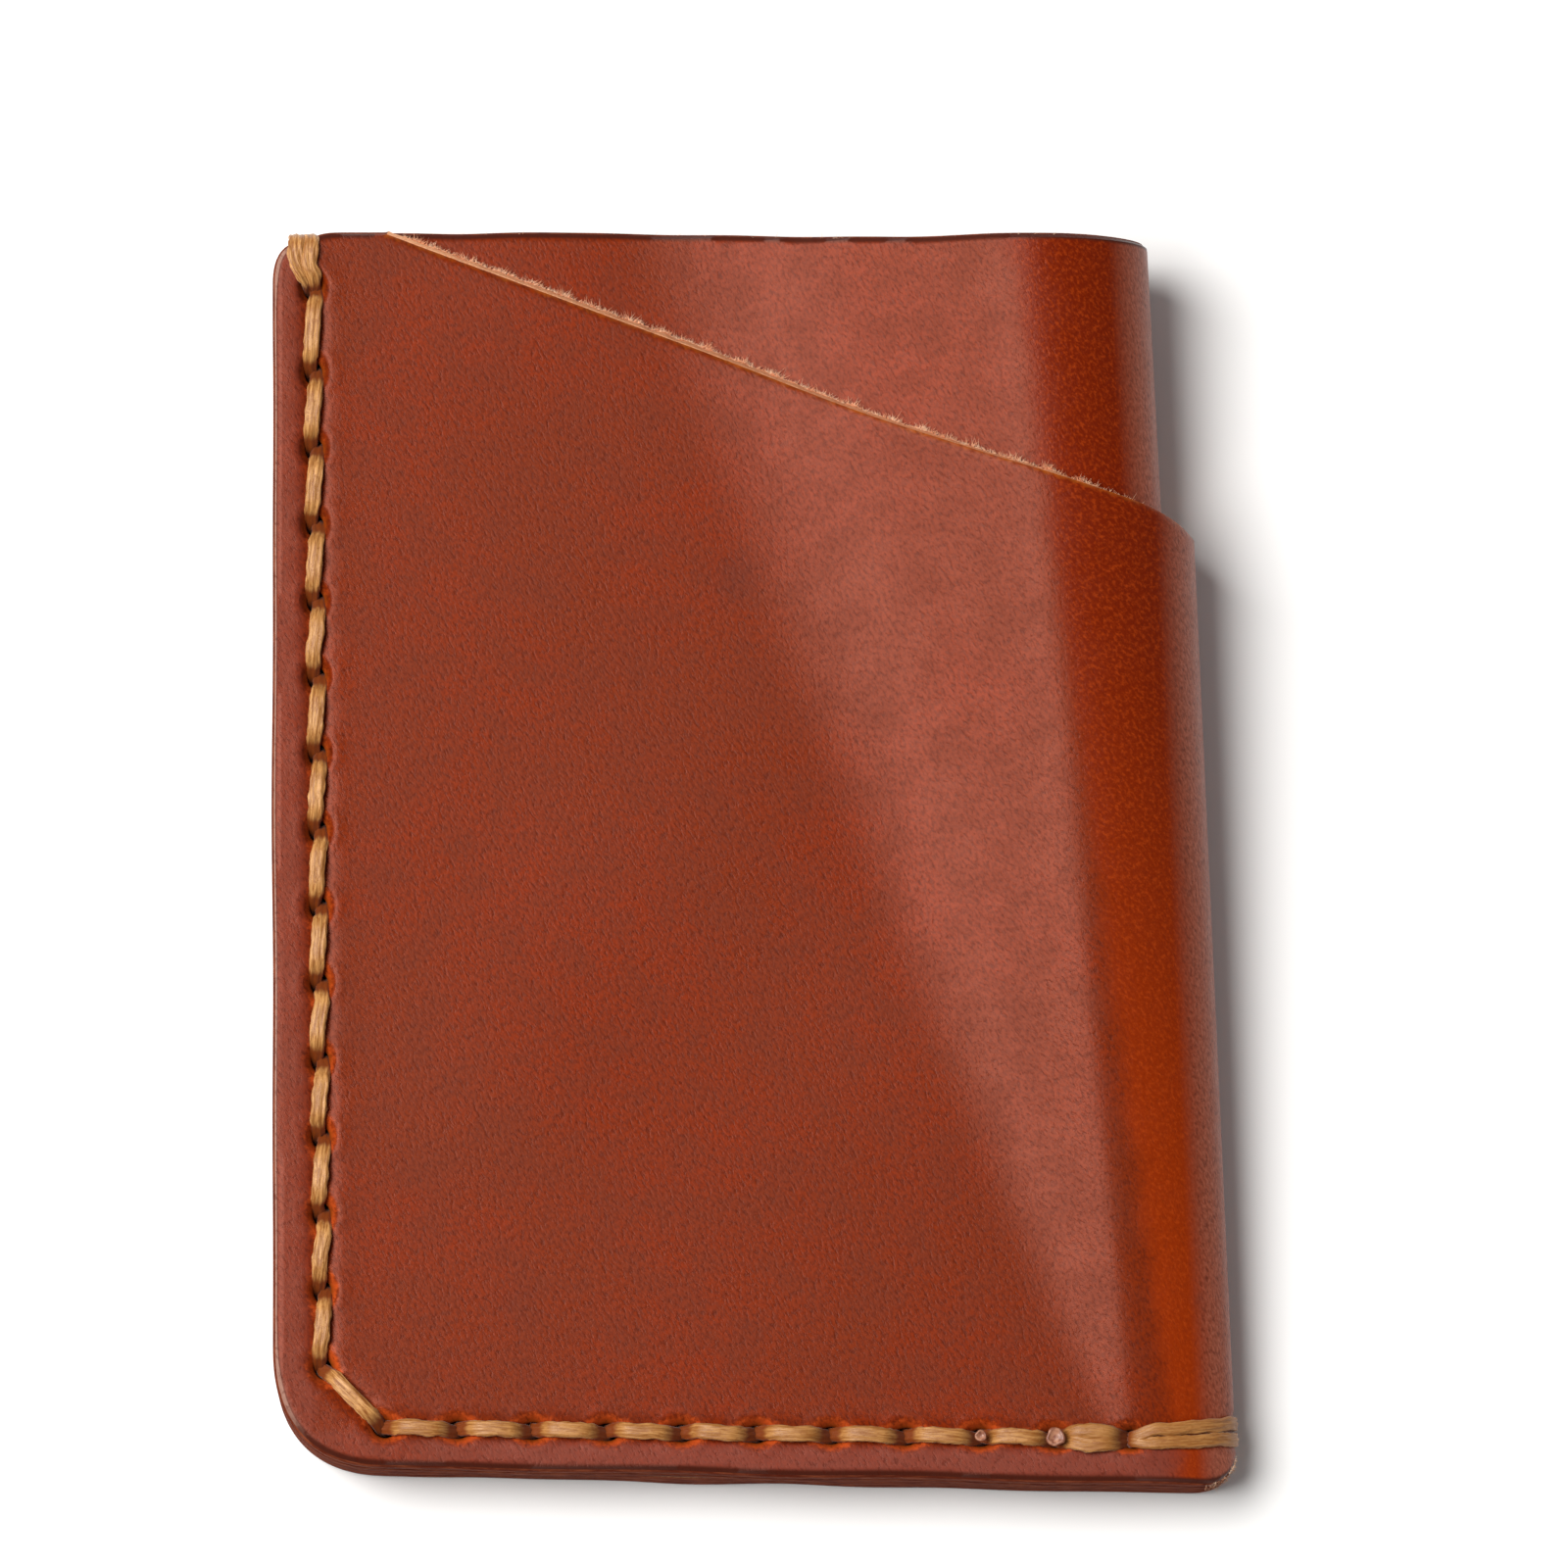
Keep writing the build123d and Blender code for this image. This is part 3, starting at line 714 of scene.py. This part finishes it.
def stitch_path(start, end, front, rise=0.30, offset=0.0, slant=0.0):
    """The line of a stitch: up out of one hole, over the leather and down into the next."""
    span = end - start
    length = np.linalg.norm(span)
    along = span / length
    across = np.array((-along[1], along[0])) * (1 if front else -1)
    base = STACK if front else 0.0
    out = 1 if front else -1
    lift = rise if front else rise - 0.60
    runs = ((-0.30, -STITCH_SINK), (-0.15, -1.5), (0.30, -1.05), (0.75, -0.62), (1.15, -0.10), (1.65, lift))
    runs += ((length / 2, lift + 0.08), (length - 1.75, lift), (length - 1.25, -0.10), (length - 0.85, -0.66))
    runs += ((length - 0.40, -1.15), (length, -1.65), (length + 0.15, -STITCH_SINK))
    control = []
    for run, height in runs:
        side = slant * (run / length - 0.5) * 2 + offset * sin(pi * run / length) ** 0.7 if run else 0
        plan = start + along * run + across * side
        control.append((*plan, base + out * height))
    path = b_spline(control, STITCH_POINTS)
    lean = np.tile(np.array((0.0, 0.0, 1.0)) * out, (STITCH_POINTS, 1))
    for share, direction in ((np.linspace(1, 0, STITCH_POINTS), -1), (np.linspace(0, 1, STITCH_POINTS), 1)):
        lean += smooth(share, 0.72, 0.9)[:, None] * np.array((*(along * direction), 0)) * 3
    return path, lean


def swelling(count, ends, middle, power=0.6):
    return ends + (middle - ends) * np.sin(np.linspace(0, pi, count)) ** power


def stitch(start, end, front, seed, width=THREAD_WIDTH, **shape):
    path, up = stitch_path(start, end, front, **shape)
    wide = swelling(len(path), width * 0.72, width)
    thick = swelling(len(path), THREAD_THICK * 1.25, THREAD_THICK)
    return ribbon(path, up, wide, thick, seed)


def seam_pieces(name, holes, seed, material, slant, aged=0.0):
    """Single stitches from hole to hole: a piece on the front and one on the back."""
    for side, front in (("Front", True), ("Back", False)):
        parts = [
            stitch(start, end, front, seed + i, slant=slant if front else -slant)
            for i, (start, end) in enumerate(zip(holes, holes[1:]))
        ]
        node = f"{name}_{side}_stitches".lower()
        join(f"{name}_{side}", parts, material, node, aged)
        seed += 30


def doubled_piece(material):
    """The back-stitch at the end of the foot seam: two strands, front and back."""
    start, end = FOOT_HOLES[-2:]
    parts = [
        stitch(start, end, front, 300 + i, width=1.2, offset=side, rise=0.34)
        for i, (front, side) in enumerate((f, s) for f in (True, False) for s in (0.55, -0.55))
    ]
    join("Doubled_End_Stitches", parts, material, "doubled_end_stitches", 1.0)


def mouth_loop_piece(material):
    """Two strands from the first hole, up over the mouth edge and down to the back of the hole."""
    x, y = SIDE_HOLES[0]
    parts = []
    for i, side in enumerate((-0.62, 0.5)):
        top_x, edge_y = x - 0.62 + side * 1.02, MOUTH_Y - 0.62
        near_x = x + side * 0.45
        middle_x = near_x * 0.6 + top_x * 0.4
        control = [
            (near_x, y - 0.4, STACK - 2.4),
            (near_x, y - 0.2, STACK - 1.4),
            (near_x, y + 0.3, STACK - 0.5),
            (middle_x, y + 0.9, STACK + 0.26),
            (top_x - 0.12, y + 2.0, STACK + 0.40),
            (top_x - 0.10, y + 3.0, STACK + 0.36),
            (top_x, edge_y - 0.3, STACK + 0.22),
            (top_x, edge_y + 0.28, STACK - 0.5),
            (top_x, edge_y + 0.34, STACK / 2),
            (top_x, edge_y + 0.28, 0.75),
            (top_x, edge_y - 0.3, 0.22),
            (top_x, y + 2.6, 0.25),
            (middle_x, y + 1.2, 0.3),
            (near_x, y + 0.5, 0.7),
            (near_x, y + 0.1, 2.4),
        ]
        path = b_spline(control, 96)
        up = (path - (0, y - 0.5, STACK / 2)) * (0, 1, 1)
        wide = 1.30 - 0.30 * bump(path[:, 1] - y, 0.9)
        parts.append(ribbon(path, up, wide, np.full(len(path), 0.52), 340 + i))
    join("Mouth_Corner_Loop", parts, material, "mouth_corner_loop")


def fold_loop_piece(material):
    """Two strands from the last hole, round the folded edge to the back of the same hole."""
    parts, hole = [], FOOT_HOLES[-1]
    for i, flat in enumerate(strand_lines()):
        over = WRAP.lay(*flat.T) + WRAP.outward(*flat.T) * 0.04
        leg = (hole[0] + 0.05, hole[1] + 0.15 * (0.5 - i) * 2)
        ends = [np.array((*leg, STACK + z)) for z in (-2.4, -1.0, -0.2)]
        back = [np.array((*leg, z)) for z in (0.6, 1.0, 2.4)]
        path = b_spline(np.concatenate((ends, over[3:-3:3], back)), 110)
        up = (path - (hole[0] + 2, 0, STACK / 2)) * (1, 0, 1) + (0, 0, 0.01)
        wide = swelling(len(path), 0.75, 1.12, 0.35)
        parts.append(ribbon(path, up, wide, np.full(len(path), 0.50), 360 + i))
    join("Fold_Edge_Loops", parts, material, "fold_edge_loops", 1.0)


def hole_threads_piece(material):
    """The two threads crossing in each hole, between the front and back stitches."""
    parts, count = [], 12
    for i, hole in enumerate(HOLES):
        along, _ = seam_axes(hole)
        for side in (-0.16, 0.16):
            z = np.linspace(STACK - 1.4, 1.4, count)
            swing = side * np.cos(np.linspace(0, pi, count))
            path = np.stack((hole[0] + along[0] * swing, hole[1] + along[1] * swing, z), -1)
            up = np.tile(np.array((*along, 0.0)), (count, 1))
            sizes = np.full(count, 0.62), np.full(count, 0.34)
            parts.append(ribbon(path, up, *sizes, 400 + 2 * i, around=16))
    join("Seam_Hole_Threads", parts, material, "seam_hole_threads")


def bead_piece(material):
    """Melted thread ends: little discs with a raised rim and a sunken, uneven middle."""
    profile = ((0.0, 0.30), (0.25, 0.30), (0.5, 0.33), (0.68, 0.46), (0.84, 0.50), (0.96, 0.40))
    profile += ((1.0, 0.2), (0.93, -0.05), (0.7, -0.2), (0.0, -0.25))
    parts, around = [], 36
    turn = np.linspace(0, 2 * pi, around, endpoint=False)
    index = np.arange(len(profile) * around).reshape(-1, around)
    for hole, radius, seed in ((FOOT_HOLES[-2], 0.76, 1), (FOOT_HOLES[-3], 0.47, 2)):
        uneven = 1 + 0.06 * np.cos(3 * turn + seed) + 0.04 * np.cos(5 * turn + 2 * seed)
        rings = []
        for share, height in profile:
            ring = radius * share * uneven
            z = STACK + 0.36 + height * 0.8 + 0.04 * np.cos(2 * turn + seed) * share
            rings.append(np.stack((hole[0] + ring * np.cos(turn), hole[1] + ring * np.sin(turn), z), -1))
        points = np.concatenate(rings)
        parts.append((points, strip(index[:-1], index[1:]), points))
    obj = join("Thread_End_Beads", parts, material, "thread_end_beads")
    work = bmesh.new()
    work.from_mesh(obj.data)
    bmesh.ops.remove_doubles(work, verts=work.verts, dist=1e-6)
    work.to_mesh(obj.data)
    work.free()


# ---- loose fibres ----
def hair(root, direction, length, radius, rng):
    """One thin, bent, tapered fibre: points, faces and coordinates."""
    steps, around = 4, 3
    bow = rng.normal(0, 0.35, 3)
    points = []
    direction = direction / np.linalg.norm(direction)
    side = np.cross(direction, (0.3, 0.5, 0.8))
    side /= np.linalg.norm(side)
    other = np.cross(direction, side)
    for i in range(steps):
        t = i / (steps - 1)
        centre = root + direction * length * t + bow * length * t * t
        for k in range(around):
            angle = 2 * pi * k / around
            points.append(centre + (side * cos(angle) + other * sin(angle)) * radius * (1.05 - t))
    points = np.array(points)
    return points, tube(steps, around), points


def slash_fibres(inner_loop, material):
    """Pale fibre clumps standing along the raw slanted cut, front and back."""
    rng = np.random.default_rng(51)
    place = WRAP.lay(*inner_loop.T, LEATHER)
    x, y, _ = place.T
    raw = slash_share(WRAP, inner_loop) > 0.5
    raw |= (np.abs(y - slash_at(x)) < 1.6) & (x > SLASH_START_X + 1)
    edge = np.flatnonzero(raw & (x < SLASH_END[0] - 2.5))
    parts = []
    clump = 0.5 + 0.5 * wander(np.arange(len(inner_loop)) * OUTLINE_STEP, 52, 2.6)
    for i in edge:
        amount = max(0.0, clump[i]) ** 1.5
        for _ in range(rng.poisson(15.0 + 12.0 * amount)):
            spread = rng.uniform(-0.25, 0.25)
            root = place[i] + np.array((spread, -spread * 0.37 - 0.05, rng.uniform(-0.1, 0.25)))
            out = np.array((rng.normal(0.15, 0.5), rng.uniform(0.35, 1.0), rng.normal(0.15, 0.35)))
            length = rng.uniform(0.10, 0.40) * (0.8 + 1.1 * amount)
            parts.append(hair(root, out, length, rng.uniform(0.018, 0.040), rng))
    return join("Slash_Edge_Fibres", parts, material)


def edge_fibres(material):
    """A few stray fibres along the mouth edge and on the trimmed foot corner of the fold."""
    rng = np.random.default_rng(61)
    parts = []
    for x in rng.uniform(EDGE_X + 6, REACH[1] - 10, 34):
        a = float(SLEEVE.unfold(np.array(x), np.array(mouth_at(x, 0))))
        root = SLEEVE.lay(a, mouth_at(x, 0), LEATHER + 0.15)
        out = np.array((rng.normal(0, 0.8), rng.uniform(0.1, 0.9), rng.uniform(-0.1, 0.6)))
        parts.append(hair(root, out, rng.uniform(0.2, 0.7), 0.014, rng))
    corner = (FOLD_X - 2.6, foot_at(FOLD_X) + 2.6)
    for _ in range(240):
        turn = rng.uniform(-pi / 2, -0.1)
        root = np.array((corner[0] + 2.5 * cos(turn), corner[1] + 2.5 * sin(turn), rng.uniform(1.2, 6.2)))
        out = np.array((cos(turn), sin(turn), 0)) + rng.normal(0, 0.6, 3)
        parts.append(hair(root, out, rng.uniform(0.1, 0.3), 0.02, rng))
    return join("Edge_Fibres", parts, material)


# ---- materials ----
def linear(red, green, blue):
    """A colour from 0-255 display values."""
    parts = [value / 255 for value in (red, green, blue)]
    return tuple(v / 12.92 if v <= 0.04045 else ((v + 0.055) / 1.055) ** 2.4 for v in parts) + (1.0,)


class Nodes:
    """Short forms for building a node material."""

    def __init__(self, name):
        self.material = bpy.data.materials.new(name)
        self.material.use_nodes = True
        self.tree = self.material.node_tree
        self.tree.nodes.clear()

    def add(self, kind, inputs=(), **settings):
        node = self.tree.nodes.new("ShaderNode" + kind)
        for key, value in settings.items():
            setattr(node, key, value)
        for key, value in dict(inputs).items():
            if isinstance(value, bpy.types.NodeSocket):
                self.tree.links.new(value, node.inputs[key])
            else:
                node.inputs[key].default_value = value
        return node

    def place(self):
        return self.add("NewGeometry").outputs["Position"]

    def attribute(self, name, output="Fac"):
        return self.add("Attribute", attribute_name=name).outputs[output]

    def stretched(self, vector, scale, turn=0.0):
        turned = self.add("Mapping", {"Vector": vector, "Rotation": (0, 0, turn)}).outputs[0]
        return self.add("Mapping", {"Vector": turned, "Scale": scale}).outputs[0]

    def noise(self, vector, scale, detail=3.0, rough=0.5, distortion=0.0):
        inputs = {"Vector": vector, "Scale": scale, "Detail": detail}
        inputs |= {"Roughness": rough, "Distortion": distortion}
        return self.add("TexNoise", inputs).outputs["Fac"]

    def remap(self, value, low, high, to_low=0.0, to_high=1.0):
        inputs = {"Value": value, "From Min": low, "From Max": high, "To Min": to_low, "To Max": to_high}
        return self.add("MapRange", inputs, interpolation_type="SMOOTHSTEP").outputs["Result"]

    def math(self, operation, first, second=0.0):
        return self.add("Math", {0: first, 1: second}, operation=operation).outputs[0]

    def times(self, first, second):
        return self.math("MULTIPLY", first, second)

    def mix(self, factor, first, second):
        return self.add("Mix", {0: factor, 6: first, 7: second}, data_type="RGBA").outputs[2]

    def stain(self, colour, tone, amount, share=1.0):
        """Lay a tone, in 0-255 display values, over a colour where the amount says."""
        return self.mix(self.times(amount, share), colour, linear(*tone))

    def bump(self, height, strength, distance):
        inputs = {"Height": height, "Strength": strength, "Distance": distance}
        return self.add("Bump", inputs).outputs[0]

    def finish(self, colour, rough, specular, **more):
        inputs = {"Base Color": colour, "Roughness": rough, "Specular IOR Level": specular}
        shader = self.add("BsdfPrincipled", inputs | {key.replace("_", " "): more[key] for key in more})
        output = self.add("OutputMaterial")
        self.tree.links.new(shader.outputs[0], output.inputs[0])
        return self.material


def grain_leather():
    """Oiled vegetable-tanned grain: mottled red brown, fine slanted pores, scuffed along the seam; painted
    shade in the band along the fold, and painted sheen and highlights.
    """
    n = Nodes("Leather_Grain")
    flat = n.attribute("flat", "Vector")
    slant = radians(30)
    strokes = n.noise(n.stretched(flat, (3.2, 1.45, 1.0), slant), 1.15, 3.0, 0.60, 0.3)
    stroke_mask = n.remap(strokes, 0.48, 0.70)
    fine = n.noise(n.stretched(flat, (2.2, 1.2, 1.0), slant), 1.9, 4.0, 0.65)
    patches = n.noise(flat, 0.055, 4.0, 0.55, 0.6)
    clouds = n.noise(flat, 0.30, 4.0, 0.62)
    colour = n.mix(n.remap(patches, 0.36, 0.66), linear(119, 40, 8), linear(127, 39, 4))
    colour = n.stain(colour, (110, 40, 16), n.remap(clouds, 0.40, 0.66), 0.7)
    colour = n.stain(colour, (86, 25, 7), n.remap(fine, 0.40, 0.64), 0.72)
    # Painted highlight: pinkish sheen on the land beyond the seams.
    colour = n.stain(colour, (122, 64, 54), n.attribute("land"), 0.28)
    height_up = n.add("SeparateXYZ", {"Vector": flat}).outputs["Y"]
    ripple = n.times(n.math("SUBTRACT", clouds, 0.5), 3.5)
    band = n.math("ADD", n.attribute("band"), ripple)
    from_reach = n.attribute("from_reach")
    # Darker band along the fold: partly oil darkening of the bent leather, partly painted shade on the face
    # turned away from the key light. It is darker towards the mouth.
    oil_and_shade = n.times(n.remap(band, -1.0, 1.3), n.remap(from_reach, -1.4, -3.4))
    deep = n.mix(n.remap(height_up, 30.0, -40.0), linear(104, 23, 0), linear(138, 42, 1))
    specks = n.remap(n.noise(n.stretched(flat, (2.4, 1.5, 1.0), slant), 1.6, 5.0, 0.7), 0.44, 0.70)
    deep = n.stain(deep, (172, 64, 12), specks, 0.62)
    colour = n.mix(n.times(oil_and_shade, 0.92), colour, deep)
    # Painted sheen: a pale grey-pink reflection painted on the fold's outer rim, speckled by the fine noise.
    sheen_speckle = n.remap(fine, 0.32, 0.62, 1.0, 0.45)
    colour = n.stain(colour, (170, 98, 76), n.remap(from_reach, -3.4, -0.8), sheen_speckle)
    # Lighter orange round the seam and holes: partly scuffed leather, partly painted light that lifts the
    # shade in the stitch valleys.
    scuff_and_lift = n.remap(n.math("ADD", n.attribute("halo"), n.noise(flat, 2.2, 5.0, 0.75)), 0.80, 1.22)
    colour = n.stain(colour, (196, 80, 30), scuff_and_lift, 0.80)
    margin = n.attribute("margin")
    colour = n.stain(colour, (66, 26, 16), n.remap(margin, 0.55, 0.22))
    patchy = n.remap(n.noise(flat, 0.5, 2.0, 0.5), 0.35, 0.62, 0.2, 0.8)
    colour = n.stain(colour, (160, 82, 22), n.attribute("cut"), patchy)
    # Painted highlight: a pale grey line along the rounded sewn edge, where the key light catches it.
    colour = n.stain(colour, (150, 112, 98), n.remap(margin, 0.34, 0.24), n.attribute("sewn"))
    colour = n.stain(colour, (70, 19, 7), stroke_mask, n.remap(oil_and_shade, 0.2, 0.8, 0.55, 0.15))
    colour = n.stain(colour, (74, 34, 30), n.attribute("mark"), 0.8)
    colour = n.stain(colour, (128, 56, 10), n.attribute("throat"))
    height = n.math("SUBTRACT", n.times(fine, 0.6), n.times(stroke_mask, 0.7))
    pebble = n.add("TexVoronoi", {"Vector": n.stretched(flat, (1.5, 0.8, 1.0), slant), "Scale": 2.4})
    height = n.math("ADD", height, n.times(pebble.outputs["Distance"], 0.3))
    normal = n.bump(height, 0.21, 0.00009)
    rough = n.remap(n.math("ADD", clouds, n.times(fine, 0.4)), 0.5, 0.9, 0.30, 0.39)
    return n.finish(colour, rough, 0.27, Normal=normal, Specular_Tint=linear(255, 184, 165))


def burnished_edge():
    """Rubbed and waxed cut edge: dark brown with fibres running along it."""
    n = Nodes("Leather_Burnished_Edge")
    place = n.place()
    streaks = n.noise(n.stretched(place, (500, 500, 4200)), 1.0, 4.0, 0.6)
    blotch = n.noise(place, 900, 3.0, 0.5)
    colour = n.mix(n.remap(streaks, 0.35, 0.68), linear(84, 29, 13), linear(124, 61, 37))
    colour = n.stain(colour, (84, 32, 18), n.remap(blotch, 0.5, 0.7), 0.5)
    normal = n.bump(streaks, 0.5, 0.00010)
    return n.finish(colour, 0.70, 0.04, Normal=normal)


def raw_cut():
    """Fresh cut through the leather: pale tan, fibrous."""
    n = Nodes("Leather_Raw_Cut")
    place = n.place()
    fuzz = n.noise(place, 5200, 4.0, 0.65)
    colour = n.mix(n.remap(fuzz, 0.36, 0.66), linear(238, 154, 104), linear(255, 196, 150))
    normal = n.bump(fuzz, 0.7, 0.00012)
    return n.finish(colour, 0.85, 0.2, Normal=normal)


def flesh_side():
    """Suede-like inside of the pockets."""
    n = Nodes("Leather_Flesh_Side")
    flat = n.attribute("flat", "Vector")
    nap = n.noise(flat, 3.2, 5.0, 0.7)
    broad = n.noise(flat, 0.25, 3.0, 0.5)
    colour = n.mix(n.remap(nap, 0.34, 0.68), linear(150, 96, 62), linear(196, 142, 102))
    colour = n.stain(colour, (128, 74, 46), n.remap(broad, 0.4, 0.7), 0.35)
    normal = n.bump(nap, 0.8, 0.00014)
    return n.finish(colour, 0.92, 0.15, Normal=normal, Sheen_Weight=0.3, Sheen_Roughness=0.6)


def waxed_thread():
    """Flat waxed thread: amber gold, streaked by its fibres, with painted shade: darker where it sinks in a
    hole.
    """
    n = Nodes("Waxed_Thread")
    run = n.attribute("run", "Vector")
    fibres = n.noise(n.stretched(run, (7.0, 0.55, 7.0)), 1.0, 4.0, 0.6, 0.5)
    plait = n.noise(n.stretched(run, (3.0, 1.6, 3.0)), 1.0, 2.0, 0.5, 1.0)
    colour = n.mix(n.remap(fibres, 0.34, 0.68), linear(142, 85, 28), linear(208, 152, 88))
    colour = n.stain(colour, (138, 76, 18), n.remap(plait, 0.52, 0.72), 0.55)
    colour = n.stain(colour, (140, 84, 24), n.attribute("aged"), 0.50)
    # Painted shade: darker brown where the thread sinks below the leather's surface into a hole.
    colour = n.stain(colour, (116, 50, 0), n.remap(n.attribute("sunk"), -0.05, 0.55))
    normal = n.bump(fibres, 0.8, 0.00008)
    return n.finish(colour, 0.46, 0.5, Normal=normal, Sheen_Weight=0.15, Sheen_Roughness=0.4)


def melted_thread():
    """Dull brown, where the thread's ends were melted into beads."""
    n = Nodes("Melted_Thread")
    place = n.place()
    cloud = n.noise(place, 2200, 3.0, 0.5)
    colour = n.mix(n.remap(cloud, 0.4, 0.65), linear(126, 74, 54), linear(174, 120, 92))
    normal = n.bump(cloud, 0.3, 0.00006)
    return n.finish(colour, 0.38, 0.5, Normal=normal)


def loose_fibre():
    """Pale fibres along the raw edges."""
    n = Nodes("Leather_Fibre")
    place = n.place()
    tone = n.noise(place, 1500, 2.0, 0.5)
    colour = n.mix(n.remap(tone, 0.35, 0.65), linear(252, 186, 144), linear(255, 220, 188))
    return n.finish(colour, 0.8, 0.2)


def studio_floor():
    n = Nodes("Studio_Floor")
    place = n.place()
    tone = n.noise(place, 3.0, 2.0, 0.5)
    colour = n.mix(tone, (0.92, 0.92, 0.92, 1), (0.95, 0.95, 0.95, 1))
    return n.finish(colour, 0.95, 0.1)


# ---- building ----
def build_leather():
    materials = [grain_leather(), burnished_edge(), raw_cut(), flesh_side()]
    fibre = loose_fibre()
    wrap, wrap_loop = build_sheet("Wrap_Leather", WRAP, True)
    sleeve, _ = build_sheet("Sleeve_Leather", SLEEVE, False)
    for obj, slot_name, node in (
        (wrap, "wrap_leather", "outer_pocket_wrap"),
        (sleeve, "sleeve_leather", "inner_sleeve"),
    ):
        for material in materials:
            obj.data.materials.append(material)
        hand_over(obj, node)
    slash = slash_fibres(wrap_loop, fibre)
    strays = edge_fibres(fibre)


def build_thread():
    thread = waxed_thread()
    seam_pieces("Side_Seam", SIDE_HOLES, 100, thread, -0.34)
    corner = [stitch(SIDE_HOLES[-1], FOOT_HOLES[0], front, 160 + front) for front in (True, False)]
    join("Foot_Corner_Stitches", corner, thread, "foot_corner_stitches")
    seam_pieces("Foot_Seam", FOOT_HOLES[:-1], 200, thread, -0.12, 0.7)
    doubled_piece(thread)
    mouth_loop_piece(thread)
    fold_loop_piece(thread)
    hole_threads_piece(thread)
    bead_piece(melted_thread())


# ---- studio ----
TILT = 8.0  # the camera leans this far from straight down, towards the foot
VIEW_WIDTH, VIEW_DISTANCE = 124.4, 1600.0
AIM = (2.35, 5.70, 7.6)
KEY_PLACE, HALF_FLOOR = (-0.62, 0.14, 1.06), 3.0  # in metres


def place_camera():
    camera = new_object("Camera", bpy.data.cameras.new("Camera"))
    lean = radians(TILT)
    camera.location = (Vector(AIM) + Vector((0, -sin(lean), cos(lean))) * VIEW_DISTANCE) * MM
    camera.rotation_euler = (lean, 0, 0)
    camera.data.lens = camera.data.sensor_width * VIEW_DISTANCE / VIEW_WIDTH
    camera.data.clip_end = 20
    bpy.context.scene.camera = camera


def place_studio():
    light = bpy.data.lights.new("Key", "AREA")
    light.shape, light.size, light.energy, light.color = "DISK", 1.0, 24.0, (1.0, 0.985, 0.96)
    key = new_object("Key", light)
    key.location = KEY_PLACE
    key.rotation_euler = (-key.location).to_track_quat("-Z", "Y").to_euler()
    world = bpy.data.worlds.new("World")
    world.use_nodes = True
    background = world.node_tree.nodes["Background"]
    background.inputs["Color"].default_value = (1, 1, 1, 1)
    background.inputs["Strength"].default_value = 0.195
    bpy.context.scene.world = world
    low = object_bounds()[0][2]
    mesh = bpy.data.meshes.new("Floor")
    corners = [(x * HALF_FLOOR, y * HALF_FLOOR, low) for x, y in ((-1, -1), (1, -1), (1, 1), (-1, 1))]
    mesh.from_pydata(corners, [], [(0, 1, 2, 3)])
    mesh.materials.append(studio_floor())
    new_object("Floor", mesh)
    bpy.context.scene.view_settings.view_transform = "Standard"


build_leather()
build_thread()
place_camera()
place_studio()
